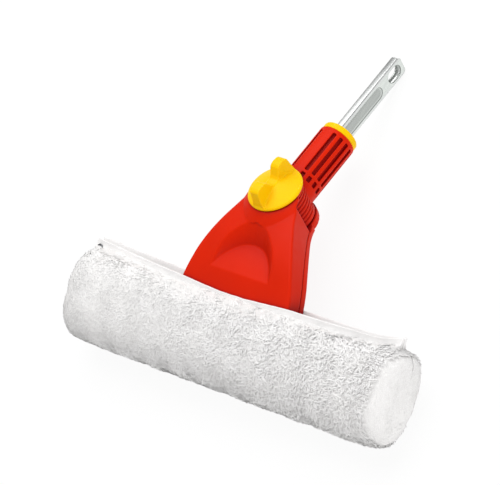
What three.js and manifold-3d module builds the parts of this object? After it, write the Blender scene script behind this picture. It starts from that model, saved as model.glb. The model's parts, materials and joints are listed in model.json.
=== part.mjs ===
// Window washer head: a fleece sleeve on a cross bar, a fan-shaped head, and a swivelling handle socket
// with a pressed steel tongue. Millimetres. It lies on its back with its front face up.
// Head frame: X along the bar, Y up the head, Z out of its front face, origin at the sleeve's slit.
// Joint frame: origin at the swivel centre, Y along the handle, Z along the pivot bolt.
import * as THREE from "three";
import { mergeVertices } from "three/addons/utils/BufferGeometryUtils.js";
import Module from "manifold-3d";

const wasm = await Module();
wasm.setup();

// General values
const overrun = 4;
const weld = 0.0005;
const fitGap = 0.3;
const roundSides = 40;
const smallSides = 20;
const hexSides = 6;
// How far the middle of a rounded corner lies from both of its sides, as a share of its radius
const cornerShare = 1 - Math.SQRT1_2;

// Where the swivel sits: above the slit, behind the head's middle, and leaning back
const jointHeight = 73.6;
const jointSetback = 16.1;
const crank = THREE.MathUtils.degToRad(32);

// Head body and cover
const headWidth = 110;
const headDepth = 21;
const headFoot = 8;
const headWall = 2.6;
const coverWall = 2.4;
const headCorner = 1.6;
const baseCrown = 0.6;
const topCrown = 3;
const earRadius = 21.5;
const hubRadius = 20;
const hubFlare = 13;
const hubDrop = 9;
// The hub's flare into the face, as shares of its width and its depth
const hubShares = [[0, 0], [0.27, 0.1], [0.46, 0.26], [0.73, 0.56], [1, 1]];
const frontEar = 3;
const rearEar = 6.5;
const seatWall = 2.5;
const lipDrop = 7.5;
const headStations = 16;
const headFaceSteps = 8;
// Powers that say how late the front and the rear swell towards the ears
const frontSwell = 1.3;
const rearSwell = 1.5;
// Half width of the head along its height, as shares of half the base width
const headHeightShares = [-0.11, 0, 0.228, 0.421, 0.614, 0.807, 0.904, 1];
const headWidthShares = [1.015, 1, 0.918, 0.8, 0.655, 0.482, 0.427, 0.398];

// Arched hollow in the head's face
const archHeight = 54;
const archHalfWidth = 31.5;
const archDepth = 6.5;
// Rim and floor of the hollow from its top to its foot, as shares of its half width and of its height
const archRimShares = [[0, 1.02], [0.34, 0.965], [0.6, 0.83], [0.8, 0.67], [0.94, 0.45], [1, 0.24]];
const archFloorShares = [[0, 0.73], [0.3, 0.69], [0.58, 0.57], [0.8, 0.41], [0.92, 0.29], [0.96, 0.24]];

// Swivel drum and handle socket
const drumRadius = 20.5;
const drumDepth = 26.4;
const drumRings = 7;
const ringGroove = 1;
const ringCrestShare = 0.56;
const ringDraftShare = 0.25;
const socketRadius = 15.6;
const socketLength = 71.4;
const fluteCount = 6;
const fluteWidth = 2.8;
const fluteDepth = 2.4;
const fluteLength = 39.5;
const fluteFromMouth = 3.3;
const fluteFirst = THREE.MathUtils.degToRad(27);
const flutePitch = THREE.MathUtils.degToRad(24.5);
const pocketWidth = 3.4;
const pocketLength = 5;
const pocketBand = 2.6;

// Collar ring at the socket's mouth
const collarRadius = 15;
const collarLength = 4.7;
const collarEdge = 1.1;

// Steel tongue
const tongueReach = 82;
const tongueSeat = 40;
const tongueThick = 6.5;
const tongueWidth = 17.5;
const tongueCorner = 1.5;
const sheet = 1.3;
const channelWidth = 11;
const channelFloor = 7;
const channelDepth = 1.2;
const channelFromTip = 25;
const lockHoleLength = 16;
const lockHoleWidth = 11;
const lockHoleFromTip = 11.6;
const tipChamfer = 2;

// Pivot bolt, friction discs and washer
const boltRadius = 4;
const boltBore = 4.3;
const boltHeadFlats = 13;
const boltHeadHeight = 5.2;
const frictionRadius = 18;
const frictionThick = 0.8;
const washerRadius = 11;
const washerThick = 1.6;

// Wing knob, heights measured from its rim
const knobRadius = 22.5;
const knobRim = 3;
const knobEdge = 0.8;
const domeHeight = 9.2;
const knobCup = 2.6;
const wingHeight = 18.5;
const wingThick = 8.5;
const insertRadius = 5.4;
const insertLength = 4.6;
const boltEndRoom = 0.4;
// The dome, as shares of the knob's radius and of its rise above the rim
const domeShares = [[0.62, 0.55], [0.3, 0.93]];
// Half outline of the wing from its middle outwards, as shares of the knob's radius and the wing's height
const wingShares = [
  [0.14, 0.51],
  [0.25, 0.66],
  [0.38, 0.93],
  [0.54, 1],
  [0.75, 0.99],
  [0.89, 0.9],
  [0.94, 0.54],
  [0.99, 0.1],
];

// Cross bar and its caps
const barEndRoom = 12;
const barHeight = 50;
const barThick = 34;
const barCorner = 12;
const barWall = 2;
const barTop = 8.5;
const barSetback = 3;
const ribHalfLength = 44;
const ribThick = 9;
const ribHeight = 15;
const capFlange = 3;
const capPlug = 9;
const capWall = 2.2;

// Screws through the cover, the rib and the body
const sideScrewReach = 32;
const sideScrewHeight = 9;
const topScrewHeight = 37;
const screwRadius = 1.9;
const screwHeadRadius = 3.6;
const screwHeadHeight = 2.2;
const screwClearance = 0.25;
const bossWall = 2.3;
const screwTipRoom = 1.2;

// Fleece sleeve
const sleeveLength = 316;
const sleeveHeight = 78;
const sleeveThick = 60;
const sleeveSetback = 5;
const sleeveTop = 7;
const sleevePower = 2.5;
const sleeveSides = 40;
const sleeveSteps = 26;
const sleeveRoom = 0.8;
const shoulderSlope = 0.15;
const lumpDepth = 1.2;
const lumpPitches = [47, 29];

// The sleeve's ends: where each starts to round over, how far it bulges, and its curve
const leftEnd = { round: 32, bulge: 7 };
const rightEnd = { round: 14, bulge: 17 };
const domePower = 3;
const domeRoot = 2.6;
const endHeightPower = 0.5;
const endPivot = 30;
const panelSteps = 6;
const panelReachShare = 0.97;

// Stitched hems beside the slit
const hemThick = 2.2;
const hemHeight = 9;
const hemBandHeight = 6;
const slitStraight = 42;
const slitReach = 140;
const snapEndGap = 3.4;
const sewnEndGap = 0.6;
const hemSteps = 14;
const hemPlaceShares = [-1, -0.77, -0.54, -0.32, 0, 0.44, 0.7, 0.87, 1];
const hemFrontShares = [1.33, 1.02, 0.82, 0.71, 0.76, 0.79, 0.91, 1.07, 1.62];
const hemRearShares = [1.58, 1.38, 1.2, 1.02, 1, 1.06, 1.13, 1.27, 1.69];

// Press stud at the slit's left end
const snapInset = 4.6;
const snapRadius = 3.2;
const snapPost = 1.1;
const snapPlate = 0.8;

// Turns a closed geometry into a solid that can be cut and joined.
function solid(geometry) {
  const bare = geometry.index ? geometry.toNonIndexed() : geometry.clone();
  bare.deleteAttribute("normal");
  bare.deleteAttribute("uv");
  const merged = mergeVertices(bare, weld);
  return new wasm.Manifold(
    new wasm.Mesh({
      numProp: 3,
      vertProperties: merged.attributes.position.array,
      triVerts: new Uint32Array(merged.index.array),
    }),
  );
}

// Turns a solid back into a geometry for a mesh.
function geometryOf(shape) {
  const mesh = shape.getMesh();
  const geometry = new THREE.BufferGeometry();
  geometry.setAttribute("position", new THREE.BufferAttribute(mesh.vertProperties, 3));
  geometry.setIndex(new THREE.BufferAttribute(mesh.triVerts, 1));
  geometry.computeVertexNormals();
  return geometry;
}

// A round bar along Z between two heights.
function rod(radius, low, high, x = 0, y = 0, sides = roundSides) {
  const geometry = new THREE.CylinderGeometry(radius, radius, high - low, sides);
  return geometry.rotateX(Math.PI / 2).translate(x, y, (low + high) / 2);
}

// A block between two corners.
function block(low, high) {
  const size = high.map((value, i) => value - low[i]);
  const middle = high.map((value, i) => (value + low[i]) / 2);
  return new THREE.BoxGeometry(...size).translate(...middle);
}

// A flat outline pushed along Z between two heights.
function slab(outline, low, high) {
  const shape = new THREE.Shape(outline);
  return new THREE.ExtrudeGeometry(shape, { depth: high - low, bevelEnabled: false }).translate(0, 0, low);
}

// A profile of [radius, height] pairs spun about Z.
function turned(profile, sides = roundSides) {
  const points = profile.map(([radius, height]) => new THREE.Vector2(radius, height));
  return new THREE.LatheGeometry(points, sides).rotateX(Math.PI / 2);
}

// A rectangle with rounded corners, centred on the origin.
function roundedOutline(width, height, corner, steps = 4) {
  const points = [];
  for (let quarter = 0; quarter < 4; quarter++) {
    const signX = quarter === 0 || quarter === 3 ? 1 : -1;
    const signY = quarter < 2 ? 1 : -1;
    for (let i = 0; i <= steps; i++) {
      const angle = (Math.PI / 2) * (quarter + i / steps);
      const x = signX * (width / 2 - corner) + corner * Math.cos(angle);
      const y = signY * (height / 2 - corner) + corner * Math.sin(angle);
      points.push(new THREE.Vector2(x, y));
    }
  }
  return points;
}

// An oval outline made of two half circles, longer along Y.
function slotOutline(width, length, steps = 8) {
  const points = [];
  for (let end = 0; end < 2; end++) {
    const shift = (end ? -1 : 1) * (length - width) / 2;
    for (let i = 0; i <= steps; i++) {
      const angle = Math.PI * (end + i / steps);
      points.push(new THREE.Vector2((width / 2) * Math.cos(angle), shift + (width / 2) * Math.sin(angle)));
    }
  }
  return points;
}

// Turns a closed geometry's faces outwards.
function facingOut(geometry) {
  const position = geometry.getAttribute("position");
  const index = geometry.getIndex().array;
  const corners = [new THREE.Vector3(), new THREE.Vector3(), new THREE.Vector3()];
  let volume = 0;
  for (let i = 0; i < index.length; i += 3) {
    corners.forEach((corner, k) => corner.fromBufferAttribute(position, index[i + k]));
    volume += corners[0].dot(corners[1].cross(corners[2]));
  }
  if (volume < 0) index.reverse();
  return geometry;
}

// A closed skin over a list of rings with equal point counts, each end closed from the ring's middle.
function lofted(rings) {
  const count = rings[0].length;
  const positions = [];
  const index = [];
  rings.forEach((ring) => ring.forEach((point) => positions.push(point.x, point.y, point.z)));
  for (let r = 0; r + 1 < rings.length; r++) {
    for (let i = 0; i < count; i++) {
      const next = (i + 1) % count;
      const here = r * count;
      const there = here + count;
      index.push(here + i, here + next, there + next, here + i, there + next, there + i);
    }
  }
  [0, rings.length - 1].forEach((r) => {
    const middle = new THREE.Vector3();
    rings[r].forEach((point) => middle.addScaledVector(point, 1 / count));
    const centre = positions.length / 3;
    positions.push(middle.x, middle.y, middle.z);
    for (let i = 0; i < count; i++) {
      const a = r * count + i;
      const b = r * count + ((i + 1) % count);
      index.push(...(r === 0 ? [centre, b, a] : [centre, a, b]));
    }
  });
  const geometry = new THREE.BufferGeometry();
  geometry.setAttribute("position", new THREE.Float32BufferAttribute(positions, 3));
  geometry.setIndex(index);
  return facingOut(geometry);
}

// Straight-line reading of a table of shares, held at its ends.
function readShares(keys, values, at) {
  const last = keys.length - 1;
  const place = THREE.MathUtils.clamp(at, keys[0], keys[last]);
  const k = Math.max(keys.findIndex((key) => key >= place), 1);
  const part = (place - keys[k - 1]) / (keys[k] - keys[k - 1]);
  return THREE.MathUtils.lerp(values[k - 1], values[k], part);
}

// Places worked out from the driving dimensions
const spineRadius = jointSetback / (1 - Math.cos(crank));
const spineStraight = jointHeight - spineRadius * Math.sin(crank);
const spineLength = spineStraight + spineRadius * crank;
const drumHalf = drumDepth / 2;
const earGap = drumHalf + frictionThick + 2 * fitGap;
const frontPlane = earGap + frontEar;
const rearPlane = earGap + rearEar;
const pocketRadius = drumRadius + fitGap * 2;
const jointMatrix = new THREE.Matrix4()
  .makeRotationX(-crank)
  .setPosition(new THREE.Vector3(0, jointHeight, -jointSetback));

// Moves a geometry from the joint frame to the head frame.
const atJoint = (geometry) => geometry.applyMatrix4(jointMatrix);

// The head's spine: straight from the slit, then bent back until it runs along the handle.
function spine(distance) {
  const angle = Math.max(distance - spineStraight, 0) / spineRadius;
  const straight = Math.min(distance, spineStraight);
  return {
    angle,
    y: straight + spineRadius * Math.sin(angle),
    z: -spineRadius * (1 - Math.cos(angle)),
  };
}

// The head's half width, front and rear depth and crown at a distance along the spine.
function headForm(distance) {
  const share = distance / spineLength;
  const rise = Math.max(share, 0);
  return {
    half: (headWidth / 2) * readShares(headHeightShares, headWidthShares, share),
    front: THREE.MathUtils.lerp(headDepth / 2, frontPlane, rise ** frontSwell),
    rear: THREE.MathUtils.lerp(headDepth / 2, rearPlane, rise ** rearSwell),
    crown: THREE.MathUtils.lerp(baseCrown, topCrown, rise),
  };
}

// One cross-section of the head, drawn in by the given insets, between its front and a lower limit.
function headRing(distance, inset, frontInset, floorOf) {
  const form = headForm(distance);
  const at = spine(distance);
  const half = form.half - inset;
  const floor = floorOf(form);
  const corner = headCorner;
  const nick = headCorner * cornerShare;
  const outline = [];
  for (let i = 0; i <= headFaceSteps; i++) {
    const across = 1 - (2 * i) / headFaceSteps;
    const x = across * (half - corner);
    outline.push([x, form.front - frontInset - form.crown * across * across]);
  }
  const edge = form.front - frontInset - form.crown;
  outline.push([-half + nick, edge - nick], [-half, edge - corner]);
  outline.push([-half, floor + corner], [-half + nick, floor + nick], [-half + corner, floor]);
  outline.push([half - corner, floor], [half - nick, floor + nick], [half, floor + corner]);
  outline.push([half, edge - corner], [half - nick, edge - nick]);
  return outline.map(([x, depth]) => {
    const y = at.y + depth * Math.sin(at.angle);
    const z = at.z + depth * Math.cos(at.angle);
    return new THREE.Vector3(x, y, z);
  });
}

// A length of the head's form.
function headLoft(from, to, inset, frontInset, floorOf) {
  const rings = [];
  for (let i = 0; i <= headStations; i++) {
    rings.push(headRing(THREE.MathUtils.lerp(from, to, i / headStations), inset, frontInset, floorOf));
  }
  return solid(lofted(rings));
}

// The depth at which the cover meets the body.
const seamDepth = (form) => rearEar - form.rear;

const headOuter = headLoft(-headFoot, spineLength, 0, 0, (form) => -form.rear);
const seamTop = (form) => seamDepth(form) + fitGap / 2;
const inFrontOfSeam = headLoft(-headFoot - overrun, spineLength + overrun, -overrun, -overrun, seamTop);
const behindSeam = headLoft(
  -headFoot - overrun,
  spineLength + overrun,
  -overrun,
  -overrun,
  (form) => seamDepth(form) - fitGap / 2,
);

// Side screws go through the rib, and the top screw sits on the centre line.
const screwPlaces = [
  { name: "head_screw_left", x: -sideScrewReach, y: sideScrewHeight },
  { name: "head_screw_right", x: sideScrewReach, y: sideScrewHeight },
  { name: "head_screw_top", x: 0, y: topScrewHeight },
];

// Depth of the head's rear face and front face at a height above the slit, measured along Z.
function surfaceAt(y, side) {
  let low = -headFoot;
  let high = spineLength;
  for (let i = 0; i < roundSides; i++) {
    const middle = (low + high) / 2;
    const at = spine(middle);
    const form = headForm(middle);
    const depth = side > 0 ? form.front : -form.rear;
    if (at.y + depth * Math.sin(at.angle) < y) low = middle;
    else high = middle;
  }
  const at = spine(low);
  const form = headForm(low);
  const depth = side > 0 ? form.front : -form.rear;
  return at.z + depth * Math.cos(at.angle);
}

// Depth of the arched hollow's floor below the face, at a height above the slit.
function hollowDepth(y) {
  const foot = archHeight * archFloorShares.at(-1)[1];
  const top = archHeight * archFloorShares[0][1];
  return archDepth * Math.max((y - foot) / (top - foot), 0);
}

screwPlaces.forEach((place) => {
  place.rear = surfaceAt(place.y, -1);
  place.front = surfaceAt(place.y, 1) - hollowDepth(place.y);
  place.headSeat = place.rear + screwHeadHeight + fitGap;
  place.tip = place.front - headWall - screwTipRoom - fitGap;
  place.seam = place.rear + rearEar;
});

const bossRadius = screwRadius + screwClearance + bossWall;
const ribFront = ribThick / 2 - barSetback / 2;
const ribRear = -ribThick / 2 - barSetback / 2;

// Lays a shape drawn as (first, second, third) so that these run along Y, Z and X.
const turnedToYZX = new THREE.Matrix4().set(0, 0, 1, 0, 1, 0, 0, 0, 0, 1, 0, 0, 0, 0, 0, 1);

// One ring of the arched hollow, at a depth below the face, widened by a wall.
function archRing(shares, depthAt, wall) {
  const widen = 1 + wall / archHalfWidth;
  const right = shares.map(([x, y]) => [x * archHalfWidth * widen, y * archHeight]);
  const left = right.slice(1).reverse().map(([x, y]) => [-x, y]);
  return right.concat(left).map(([x, y]) => new THREE.Vector3(x, y, surfaceAt(y, 1) - depthAt(y)));
}

// The arched hollow: its floor slopes down from its foot, and a slanting band rises round it to its rim.
function archCut(wall) {
  const rings = [
    archRing(archRimShares, () => -overrun, wall),
    archRing(archRimShares, () => wall - weld, wall),
    archRing(archFloorShares, (y) => hollowDepth(y) + wall, wall),
  ];
  return solid(lofted(rings));
}

// Drum pocket between the ears, and the space above the lips that the socket swings through
const drumPocket = solid(atJoint(rod(pocketRadius, -earGap, earGap)));
const aboveLips = solid(
  atJoint(block([-headWidth, -lipDrop, -earGap], [headWidth, jointHeight, earGap])),
);
const seatBlock = solid(atJoint(rod(pocketRadius + seatWall, -rearPlane - overrun, frontPlane + overrun)));
const boltHole = solid(atJoint(rod(boltBore, -rearPlane - overrun, frontPlane + overrun)));

// A post along Z from one depth to another, trimmed to the head's form.
const post = (radius, place, low, high) => solid(rod(radius, low, high, place.x, place.y, smallSides));

// The hub under the knob: a short cone that flares into the head's face.
function hub() {
  const flare = hubShares.map(([out, down]) => [
    hubRadius + out * hubFlare,
    frontPlane - down * hubDrop,
  ]);
  return solid(atJoint(turned([[0, frontPlane - hubDrop], ...flare.reverse(), [0, frontPlane]])));
}

function headBody() {
  const belowSeam = (form) => seamDepth(form) - overrun;
  let shell = headOuter.intersect(inFrontOfSeam);
  shell = shell.add(solid(atJoint(rod(hubRadius, earGap, frontPlane))));
  shell = shell.add(hub().intersect(headLoft(0, spineLength, weld, -hubDrop, seamDepth)));
  let hollow = headLoft(-headFoot - overrun, spineLength, headWall, headWall, belowSeam);
  hollow = hollow.subtract(seatBlock);
  hollow = hollow.subtract(archCut(headWall));
  shell = shell.subtract(hollow);
  screwPlaces.forEach((place) => {
    const low = place.y < ribHeight ? ribFront + fitGap : place.seam + fitGap;
    const boss = post(bossRadius, place, low, place.front - headWall / 2);
    shell = shell.add(boss);
    shell = shell.subtract(post(screwRadius + screwClearance / 2, place, low - overrun, place.tip + fitGap));
  });
  return shell.subtract(archCut(0)).subtract(drumPocket).subtract(aboveLips).subtract(boltHole);
}

function rearCover() {
  let shell = headOuter.subtract(behindSeam);
  shell = shell.add(solid(atJoint(rod(earRadius, -rearPlane, -earGap))));
  const roof = (form) => -form.rear + coverWall;
  let hollow = headLoft(-headFoot - overrun, spineLength, headWall, -overrun, roof);
  hollow = hollow.subtract(seatBlock);
  shell = shell.subtract(hollow);
  screwPlaces.forEach((place) => {
    const high = place.y < ribHeight ? ribRear - fitGap : place.seam - fitGap;
    shell = shell.add(post(bossRadius, place, place.rear + coverWall / 2, high));
    shell = shell.subtract(post(screwRadius + screwClearance, place, place.rear - overrun, high + overrun));
    shell = shell.subtract(
      post(screwHeadRadius + screwClearance, place, place.rear - overrun, place.headSeat),
    );
  });
  const pocketFloor = -rearPlane + boltHeadHeight + fitGap;
  const hexPocket = hexRod(boltHeadFlats + 2 * fitGap, -rearPlane - overrun, pocketFloor);
  return shell
    .subtract(drumPocket)
    .subtract(aboveLips)
    .subtract(boltHole)
    .subtract(solid(atJoint(hexPocket)));
}

// A hexagonal bar along Z, by its width across flats.
function hexRod(flats, low, high) {
  return rod(flats / Math.sqrt(3), low, high, 0, 0, hexSides);
}

function headScrew(place) {
  const headHigh = place.headSeat - fitGap / 2;
  const head = post(screwHeadRadius, place, headHigh - screwHeadHeight, headHigh);
  return head.add(post(screwRadius, place, headHigh - screwHeadHeight / 2, place.tip));
}

// Swivel drum with its rings, the socket tube with flutes and pockets, the bolt bore and the tongue's seat
function swivelSocket() {
  const profile = [[0, -drumHalf]];
  const pitch = drumDepth / drumRings;
  for (let i = 0; i < drumRings; i++) {
    const low = -drumHalf + i * pitch;
    const crest = pitch * ringCrestShare;
    profile.push([drumRadius, low + (i ? pitch - crest : 0)], [drumRadius, low + pitch]);
    if (i + 1 < drumRings) {
      const draft = ringGroove * ringDraftShare;
      profile.push([drumRadius - ringGroove, low + pitch + draft]);
      profile.push([drumRadius - ringGroove, low + 2 * pitch - crest - draft]);
    }
  }
  profile.push([0, drumHalf]);
  let shape = solid(turned(profile));
  const clearOfEars = earRadius + 2 * fitGap;
  const shank = block([-socketRadius, 0, -drumHalf], [socketRadius, clearOfEars + overrun, drumHalf]);
  const neck = solid(rod(socketRadius, 0, socketLength).rotateX(-Math.PI / 2)).intersect(solid(shank));
  shape = shape.add(neck).add(solid(rod(socketRadius, clearOfEars, socketLength).rotateX(-Math.PI / 2)));
  const fluteLow = socketLength - fluteFromMouth - fluteLength;
  const rows = [
    { width: fluteWidth, length: fluteLength, middle: fluteLow + fluteLength / 2 },
    { width: pocketWidth, length: pocketLength, middle: fluteLow - pocketBand - pocketLength / 2 },
  ];
  for (const side of [-1, 1]) {
    for (let i = 0; i < fluteCount; i++) {
      const angle = side * (fluteFirst + i * flutePitch);
      rows.forEach(({ width, length, middle }) => {
        const outline = slotOutline(width, length, 4);
        const cutter = slab(outline, socketRadius - fluteDepth, socketRadius + overrun);
        shape = shape.subtract(solid(cutter.translate(0, middle, 0).rotateY(angle)));
      });
    }
  }
  const seatLow = socketLength - tongueSeat;
  const seat = tongueOutline(fitGap);
  const slot = slab(seat, 0, tongueSeat + overrun).rotateX(-Math.PI / 2).translate(0, seatLow - fitGap, 0);
  return shape.subtract(solid(slot)).subtract(solid(rod(boltBore, -drumDepth, drumDepth)));
}

// The tongue's section, wider along the pivot bolt than along the bar.
function tongueOutline(grow) {
  return roundedOutline(tongueThick + 2 * grow, tongueWidth + 2 * grow, tongueCorner + grow, 3);
}

function collarRing() {
  const profile = [
    [0, 0],
    [collarRadius, 0],
    [collarRadius, collarLength - collarEdge],
    [collarRadius - collarEdge * cornerShare, collarLength - collarEdge * cornerShare],
    [collarRadius - collarEdge, collarLength],
    [0, collarLength],
  ];
  const ring = turned(profile).rotateX(-Math.PI / 2).translate(0, socketLength + fitGap / 2, 0);
  const slot = slab(tongueOutline(fitGap), 0, socketLength).rotateX(-Math.PI / 2);
  return solid(ring).subtract(solid(slot.translate(0, socketLength - overrun, 0)));
}

// One long channel in a side of the tongue, pressed in with sloping flanks.
function channel(depth, grow, side, low, high) {
  const rings = [0, 1].map((level) => {
    const width = (level ? channelWidth : channelFloor) + 2 * grow;
    const length = high - low + (level ? channelWidth - channelFloor : 0) + 2 * grow;
    const outline = slotOutline(width, length, 6);
    const at = tongueThick / 2 - depth + level * (depth + weld);
    return outline.map((p) => new THREE.Vector3(side * at, (low + high) / 2 + p.y, p.x));
  });
  rings.push(rings[1].map((p) => new THREE.Vector3(p.x + side * overrun, p.y, p.z)));
  return solid(lofted(rings));
}

function steelTongue() {
  const low = socketLength - tongueSeat;
  const high = socketLength + collarLength + tongueReach;
  const along = (outline, from, to) =>
    solid(slab(outline, 0, to - from).rotateX(-Math.PI / 2).translate(0, from, 0));
  let bar = along(tongueOutline(0), low, high);
  const inner = roundedOutline(tongueThick - 2 * sheet, tongueWidth - 2 * sheet, tongueCorner / 2, 2);
  let hollow = along(inner, low - overrun, high + overrun);
  const channelHigh = high - channelFromTip - channelWidth / 2;
  const channelLow = low + channelWidth;
  [-1, 1].forEach((side) => {
    hollow = hollow.subtract(channel(channelDepth + sheet, sheet / 2, side, channelLow, channelHigh));
  });
  bar = bar.subtract(hollow);
  [-1, 1].forEach((side) => {
    bar = bar.subtract(channel(channelDepth, 0, side, channelLow, channelHigh));
  });
  const hole = slab(slotOutline(lockHoleWidth, lockHoleLength), -tongueWidth, tongueWidth);
  bar = bar.subtract(solid(hole.rotateY(Math.PI / 2).translate(0, high - lockHoleFromTip, 0)));
  [-1, 1].forEach((side) => {
    const corner = block([-tongueWidth, -tipChamfer, -tipChamfer], [tongueWidth, tipChamfer, tipChamfer]);
    const cut = corner.rotateX(Math.PI / 4).translate(0, high, (side * tongueWidth) / 2);
    bar = bar.subtract(solid(cut));
  });
  return bar;
}

// Heights along the pivot bolt, measured from the swivel centre
const boltHeadTop = -rearPlane + boltHeadHeight;
const knobBase = frontPlane + fitGap;
const insertLow = knobBase + knobCup + fitGap;
const insertHigh = insertLow + insertLength;

function pivotBolt() {
  const head = solid(hexRod(boltHeadFlats, -rearPlane + fitGap, boltHeadTop));
  return head.add(solid(rod(boltRadius, boltHeadTop - overrun / 2, insertHigh)));
}

function frictionDisc(side) {
  const middle = side * (drumHalf + fitGap + frictionThick / 2);
  const disc = solid(rod(frictionRadius, middle - frictionThick / 2, middle + frictionThick / 2));
  return disc.subtract(solid(rod(boltBore, -rearPlane, rearPlane + overrun)));
}

function thrustWasher() {
  const low = frontPlane + fitGap;
  const disc = solid(rod(washerRadius, low, low + washerThick));
  return disc.subtract(solid(rod(boltBore, low - overrun, low + overrun)));
}

function wingKnob() {
  const rim = [
    [0, 0],
    [knobRadius - knobEdge, 0],
    [knobRadius, knobEdge],
    [knobRadius, knobRim - knobEdge],
    [knobRadius - knobEdge, knobRim],
    ...domeShares.map(([x, y]) => [knobRadius * x, THREE.MathUtils.lerp(knobRim, domeHeight, y)]),
    [0, domeHeight],
  ];
  let knob = solid(turned(rim));
  const half = wingShares.map(([x, y]) => [x * (knobRadius - knobEdge), y * wingHeight]);
  const outline = half
    .concat([[half.at(-1)[0], knobEdge], [-half.at(-1)[0], knobEdge]])
    .concat([...half].reverse().map(([x, y]) => [-x, y]))
    .map(([x, y]) => new THREE.Vector2(x, y));
  const wing = slab(outline, -wingThick / 2, wingThick / 2);
  knob = knob.add(solid(wing.applyMatrix4(turnedToYZX)));
  knob = knob.subtract(solid(rod(washerRadius + 2 * fitGap, -overrun, knobCup)));
  const bore = insertHigh + boltEndRoom - knobBase;
  knob = knob.subtract(solid(rod(insertRadius + fitGap, 0, insertHigh - knobBase + fitGap)));
  knob = knob.subtract(solid(rod(boltRadius + fitGap, 0, bore, 0, 0, smallSides)));
  return geometryOf(knob).translate(0, 0, knobBase);
}

function knobInsert() {
  const barrel = solid(rod(insertRadius, insertLow, insertHigh, 0, 0, smallSides));
  return barrel.subtract(solid(rod(boltRadius + fitGap, insertLow - overrun, insertHigh + overrun)));
}

// Cross bar inside the sleeve, with the rib that the head clamps
const barLength = sleeveLength - 2 * barEndRoom;
const barMiddle = -barTop - barHeight / 2;
const barOutline = (grow) =>
  roundedOutline(barThick + 2 * grow, barHeight + 2 * grow, barCorner + grow).map(
    (point) => new THREE.Vector2(point.x - barSetback, point.y + barMiddle),
  );

// Pushes an outline drawn as (depth, height) along the bar.
function alongBar(outline, from, to) {
  const geometry = slab(outline, from, to);
  return geometry.applyMatrix4(new THREE.Matrix4().set(0, 0, 1, 0, 0, 1, 0, 0, -1, 0, 0, 0, 0, 0, 0, 1));
}
const flipDepth = (outline) => outline.map((point) => new THREE.Vector2(-point.x, point.y)).reverse();
const barSolid = (grow, half) => solid(alongBar(flipDepth(barOutline(grow)), -half, half));

function carrierBar() {
  const half = barLength / 2;
  let bar = barSolid(0, half).subtract(barSolid(-barWall, half + overrun));
  bar = bar.add(
    solid(block([-ribHalfLength, -barTop - barWall, ribRear], [ribHalfLength, ribHeight, ribFront])),
  );
  screwPlaces.slice(0, 2).forEach((place) => {
    bar = bar.subtract(post(screwRadius + screwClearance, place, -headDepth, headDepth));
  });
  return bar;
}

function barCap(side) {
  const half = barLength / 2;
  const span = (outline, from, to) =>
    solid(alongBar(flipDepth(outline), Math.min(side * from, side * to), Math.max(side * from, side * to)));
  const flange = span(barOutline(0), half + fitGap / 2, half + capFlange);
  const plugOuter = -barWall - fitGap;
  const plug = span(barOutline(plugOuter), half - capPlug, half + capFlange / 2);
  const cup = span(barOutline(plugOuter - capWall), half - capPlug - overrun, half);
  return flange.add(plug.subtract(cup));
}

// Half of the slit's width at a distance along the bar, and how far its middle is set back.
function slitAt(x) {
  const endGap = (x < 0 ? snapEndGap : sewnEndGap) / 2;
  const out = THREE.MathUtils.smoothstep(Math.abs(x), slitStraight, slitReach);
  const atHead = headDepth / 2 + fitGap;
  return {
    half: THREE.MathUtils.lerp(atHead, endGap, out),
    back: THREE.MathUtils.lerp(0, sleeveSetback, out),
  };
}

// The outline between two offsets from the slit's front or rear edge, in (x, depth).
function hemBand(side, near, far, reach = sleeveLength / 2) {
  const line = (offset) => {
    const points = [];
    for (let i = -hemSteps; i <= hemSteps; i++) {
      const x = (reach * i) / hemSteps;
      const { half, back } = slitAt(x);
      points.push(new THREE.Vector2(x, -back + side * (half + offset)));
    }
    return points;
  };
  return line(near).concat(line(far).reverse());
}

// Pushes an outline drawn as (x, depth) up the head between two heights.
function upHead(outline, low, high) {
  const upright = outline.map((point) => new THREE.Vector2(point.x, -point.y));
  const closed = THREE.ShapeUtils.area(upright) < 0 ? upright.reverse() : upright;
  return slab(closed, 0, high - low).rotateX(-Math.PI / 2).translate(0, low, 0);
}

// Height of a hem's top edge: low at the head, rising towards the ends
function hemTop(x, side) {
  const shares = side > 0 ? hemFrontShares : hemRearShares;
  return -sleeveTop + hemHeight * readShares(hemPlaceShares, shares, (2 * x) / sleeveLength);
}

// How full the section still is towards a domed end: 1 along the tube, 0 at the dome's tip
function endShare(x) {
  const { round, bulge } = x < 0 ? leftEnd : rightEnd;
  const out = (Math.abs(x) - sleeveLength / 2 + round) / (round + bulge);
  return (1 - Math.max(out, 0) ** domePower) ** (1 / domeRoot);
}

// Soft lumps of the stuffed pile, none at the back that the sleeve rests on
function lump(x, angle) {
  const [long, short] = lumpPitches;
  const broad = Math.sin((2 * Math.PI * x) / long + 3 * angle);
  const fine = Math.cos((2 * Math.PI * x) / short - 2 * angle);
  return (lumpDepth * (broad + fine) * (1 + Math.sin(angle))) / 4;
}

// The sleeve's outer section: a flattened oval, set back from the head's middle, that rises to the hems
function sleeveRing(x) {
  const share = endShare(x);
  const { half, back } = slitAt(x);
  const ring = [];
  for (let i = 0; i < sleeveSides; i++) {
    const angle = (2 * Math.PI * i) / sleeveSides;
    const swell = lump(x, angle);
    const bend = (value) => Math.sign(value) * Math.abs(value) ** (2 / sleevePower);
    const level = (sleeveHeight / 2 + swell) * bend(Math.cos(angle)) - sleeveHeight / 2;
    const y = (level + endPivot) * share ** endHeightPower - endPivot;
    const z = (sleeveThick / 2 + swell) * share * bend(Math.sin(angle)) - sleeveSetback;
    const away = Math.max(Math.abs(z + back) - half - hemThick, 0);
    const shoulder = hemTop(x, Math.sin(angle)) - hemBandHeight - shoulderSlope * away;
    ring.push(new THREE.Vector3(x, Math.min(y, shoulder), z));
  }
  return ring;
}

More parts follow.
